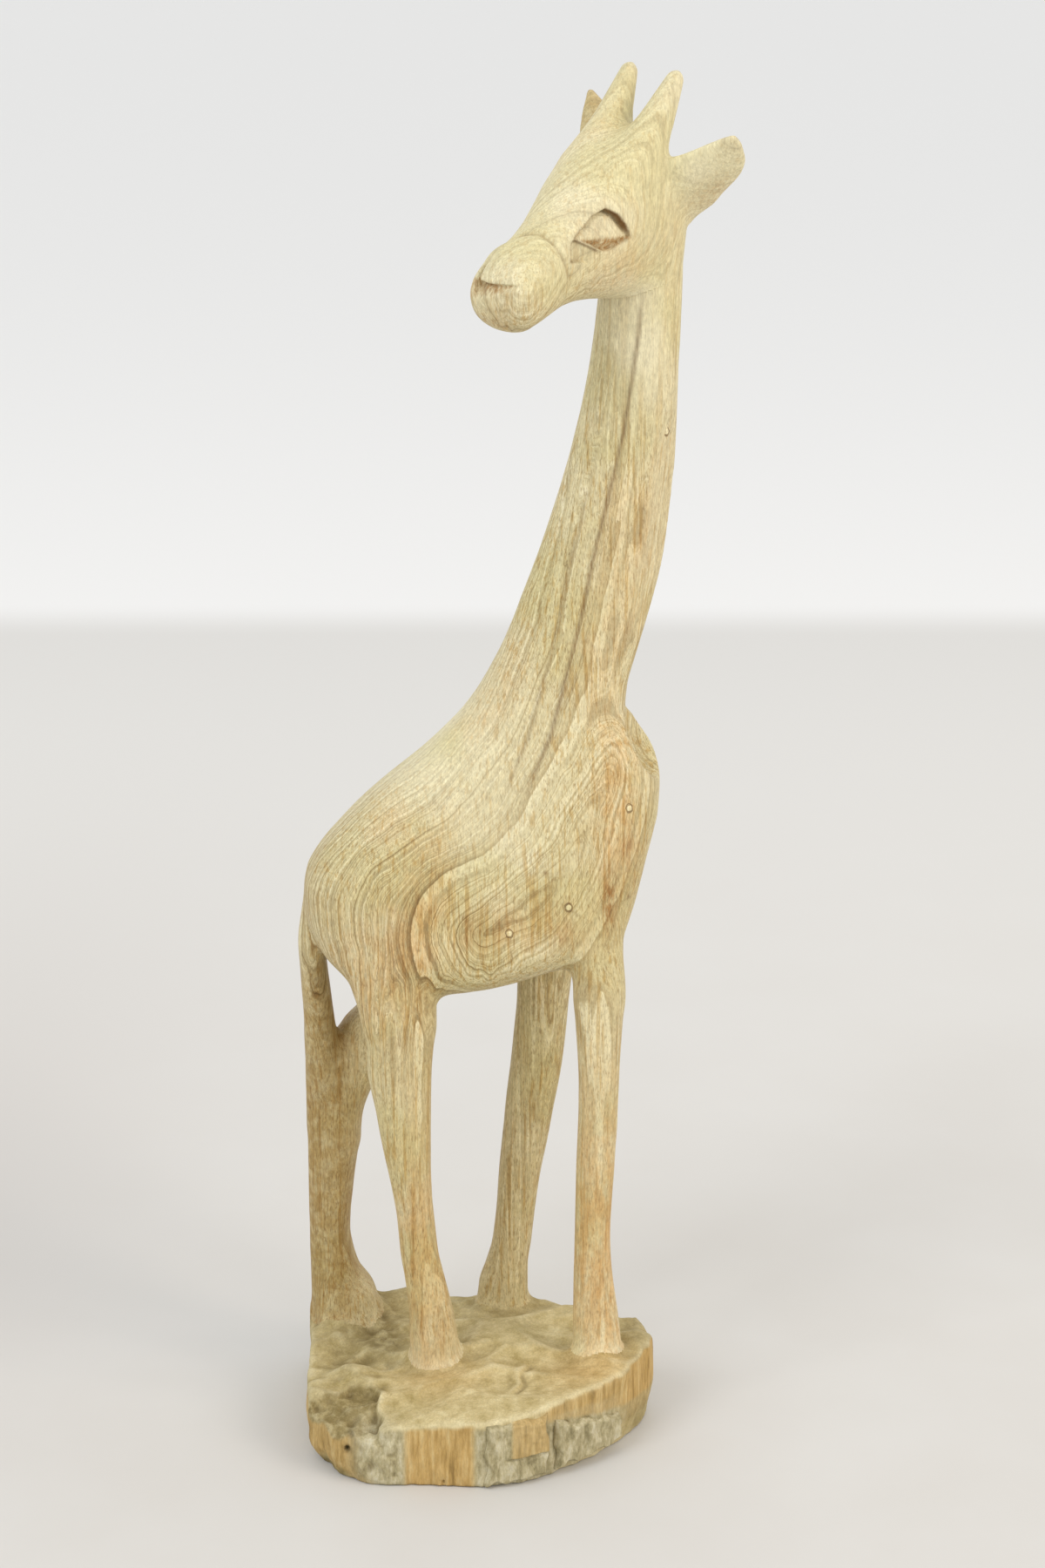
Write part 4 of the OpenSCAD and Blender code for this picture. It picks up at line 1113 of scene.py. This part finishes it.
bark_lo, bark_hi = (np.array(b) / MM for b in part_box("bark_front"))
bark_scale("bark_front_scale", "bark_front", bark_lo[0] - 0.6, bark_hi[0] - 4.2,
           lambda x: 0.8 + 0.05 * (x - 2), lambda x: 14.6 + 0.9 * ease(x, 5.5, 7.5),
           lambda x, z: (0.75 * ease(x, 6.2, 7.2) * ease(z, 6.9, 7.5), 1 - 0.9 * ease(x, 6.2, 7.2) * ease(z, 6.9, 7.5)),
           lambda x, z: 0.45 * ease(x, 6.2, 7.2) * ease(z, 6.9, 7.4) - 0.5 * ridge(z - 6.7, 0.35) * ease(x, 5, 6.5), 61)
bark_lo, bark_hi = (np.array(b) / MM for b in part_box("bark_right"))
bark_scale("bark_right_scale", "bark_right", bark_lo[0] - 3.6, bark_hi[0] - 6.0,
           lambda x: 2.0 + 0.12 * (x - 20), lambda x: 12.4 - 0.27 * (x - 20) - 1.6 * ridge(x - 20.6, 1.2),
           lambda x, z: (0 * x, 1 + 0 * x), lambda x, z: 0.25 * np.sin(x * 1.9), 71)


def plug_dome(node):
    """A dab of wax in a hole: rings round the hole's axis, from under the
    skin up over a shallow dome, its edge lumpy, a dark seam round it."""
    p = corners(node)
    c = p.mean(0)
    axis = unit(np.linalg.svd(p - c)[2][0])
    axis = -axis if axis[1] > 0 else axis
    depth = np.linspace(-3, 3, 241)
    top_ = c + axis * ((p - c) @ axis).max()
    way = top_ + depth[:, None] * axis
    q = np.clip((way - body.lo) / body.step, 0, np.array(body.f.shape) - 2)
    i = q.astype(int)
    u = q - i
    f = sum(body.f[tuple((i + c).T)] * np.abs(1 - np.array(c) - u).prod(1) for c in EIGHT)
    skin_at = way[np.argmin(np.abs(f))] + axis * 0.06
    ex = unit(np.cross(axis, [0, 0, 1]))
    ez = np.cross(ex, axis)
    turn_ = np.linspace(0, 2 * math.pi, 40, endpoint=False)
    profile = np.array([[1.12, -1.2], [1.12, -0.03], [1.02, 0.03], [0.90, 0.02], [0.82, -0.10],
                        [0.74, 0.0], [0.62, 0.10], [0.42, 0.15], [0.2, 0.165], [0.02, 0.17]])
    # taller than wide, as the fibres closed on the hole
    wob = 0.78 + 0.18 * np.sin(turn_) ** 2 + 0.05 * np.sin(turn_ * 2 + c[0]) + 0.05 * np.sin(turn_ * 5 + c[2])
    r = profile[:, :1] * wob[None]
    grid = (skin_at + r[..., None] * (np.cos(turn_)[None, :, None] * ex + np.sin(turn_)[None, :, None] * ez)
            + profile[:, 1:, None] * axis)
    inner = skin_at - axis * 1.3 + (grid - skin_at) * 0.3
    def paint(v):
        """Dark in a ring at the dab's edge, by distance from its axis."""
        d = v - skin_at
        rad = np.linalg.norm(d - (d @ axis)[:, None] * axis, axis=1)
        ring_ = ease(rad, 0.56, 0.7)
        none = 0 * rad
        return {"warm": none, "dark": 0.4 * ring_, "brown": none, "cut": 0.75 * ring_, "pale": none + 0.3,
                "figure": none + 0.4}
    return patch_mesh(node + "_dab", node, grid[:, ::-1], inner[:, ::-1], filler, paint, True)


for node in ("plug_shoulder", "plug_ribs", "plug_belly", "plug_neck"):
    plug_dome(node)

# ------------------------------------------------- floor and lights --

data = bpy.data.meshes.new("floor")
data.from_pydata([(-40, -40, 0), (40, -40, 0), (40, 40, 0), (-40, 40, 0)], [], [(0, 1, 2, 3)])
floor = bpy.data.objects.new("floor", data)
bpy.context.scene.collection.objects.link(floor)
# matt background paper: pale, faintly mottled, with a painted shadow
# towards the left and painted light that makes it a little lighter far
# off; flat throughout, it is painted a paler white far off on every side
# for a pale wall behind
paper, t, _ = blank("pale_paper_floor")
place = add(t, "TexCoord", {}, "Object")
across, deep_ = add(t, "SeparateXYZ", {0: place}, 0), add(t, "SeparateXYZ", {0: place}, 1)
behind = add(t, "Math", {0: deep_, 1: 0.76}, operation="SUBTRACT")
beside = add(t, "Math", {0: add(t, "Math", {0: across}, operation="ABSOLUTE"), 1: 0.9}, operation="SUBTRACT")
before = add(t, "Math", {0: deep_, 1: -1.0, 2: -0.95}, operation="MULTIPLY_ADD")
beyond = add(t, "Math", {0: behind, 1: add(t, "Math", {0: beside, 1: before}, operation="MAXIMUM")}, operation="MAXIMUM")
beyond = add(t, "MapRange", {0: beyond, 1: -0.035, 2: 0.035}, interpolation_type="SMOOTHSTEP")
mottle = add(t, "TexNoise", {"Vector": place, "Scale": 18.0, "Detail": 6.0})
colour = add(t, "ValToRGB", {0: mottle}, stops=[(0.3, "#cdcac4"), (0.7, "#d1cfca")])
# painted shadow on the floor: darker towards the left, from the middle backwards
left_shadow = add(t, "MapRange", {0: across, 1: -0.04, 2: -0.16}, interpolation_type="SMOOTHSTEP")
left_shadow = add(t, "Math", {0: left_shadow, 1: add(t, "MapRange", {0: deep_, 1: -0.06, 2: 0.08})}, operation="MULTIPLY")
colour = add(t, "Mix", {0: left_shadow, 6: colour, 7: "#c3beb8"}, 2, data_type="RGBA")
# painted light: the floor lighter further back
painted_far_light = add(t, "MapRange", {0: deep_, 1: -0.15, 2: 0.6}, interpolation_type="SMOOTHSTEP")
colour = add(t, "Mix", {0: painted_far_light, 6: colour, 7: "#dddbd6"}, 2, data_type="RGBA")
colour = add(t, "Mix", {0: beyond, 6: colour, 7: "#f0efec"}, 2, data_type="RGBA")
matt = add(t, "BsdfPrincipled", {"Base Color": colour, "Roughness": 0.9, "Specular IOR Level": 0.1})
add(t, "OutputMaterial", {"Surface": matt})
data.materials.append(paper)

world = bpy.data.worlds.new("studio")
bpy.context.scene.world = world
world.use_nodes = True
world.node_tree.nodes["Background"].inputs[0].default_value = hexcol("#f4f5f7")
world.node_tree.nodes["Background"].inputs[1].default_value = 1.0
bpy.context.scene.view_settings.view_transform = "Standard"


def softbox(name, place, target, size, power, colour):
    """A square soft light at a place, turned to face its target."""
    light = bpy.data.lights.new(name, "AREA")
    light.shape, light.size, light.energy = "SQUARE", size, power
    light.color = hexcol(colour)[:3]
    o = bpy.data.objects.new(name, light)
    o.location = place
    o.rotation_euler = (Vector(target) - Vector(place)).to_track_quat("-Z", "Y").to_euler()
    bpy.context.scene.collection.objects.link(o)


aim = (0, 0, 0.15)
softbox("key_left", (-0.75, -0.75, 1.05), aim, 0.6, 5.5, "#f8fbff")
softbox("fill_right", (0.9, -0.55, 0.75), aim, 0.6, 5.0, "#fff1e2")

camera = bpy.data.cameras.new("camera")
camera.lens, camera.sensor_width = 66, 36
camera.clip_start, camera.clip_end = 0.05, 30
cam = bpy.data.objects.new("camera", camera)
cam.location = (0.009, -0.58143, 0.32776)
cam.rotation_euler = (math.radians(90 - 17), 0, 0)
bpy.context.scene.collection.objects.link(cam)
bpy.context.scene.camera = cam
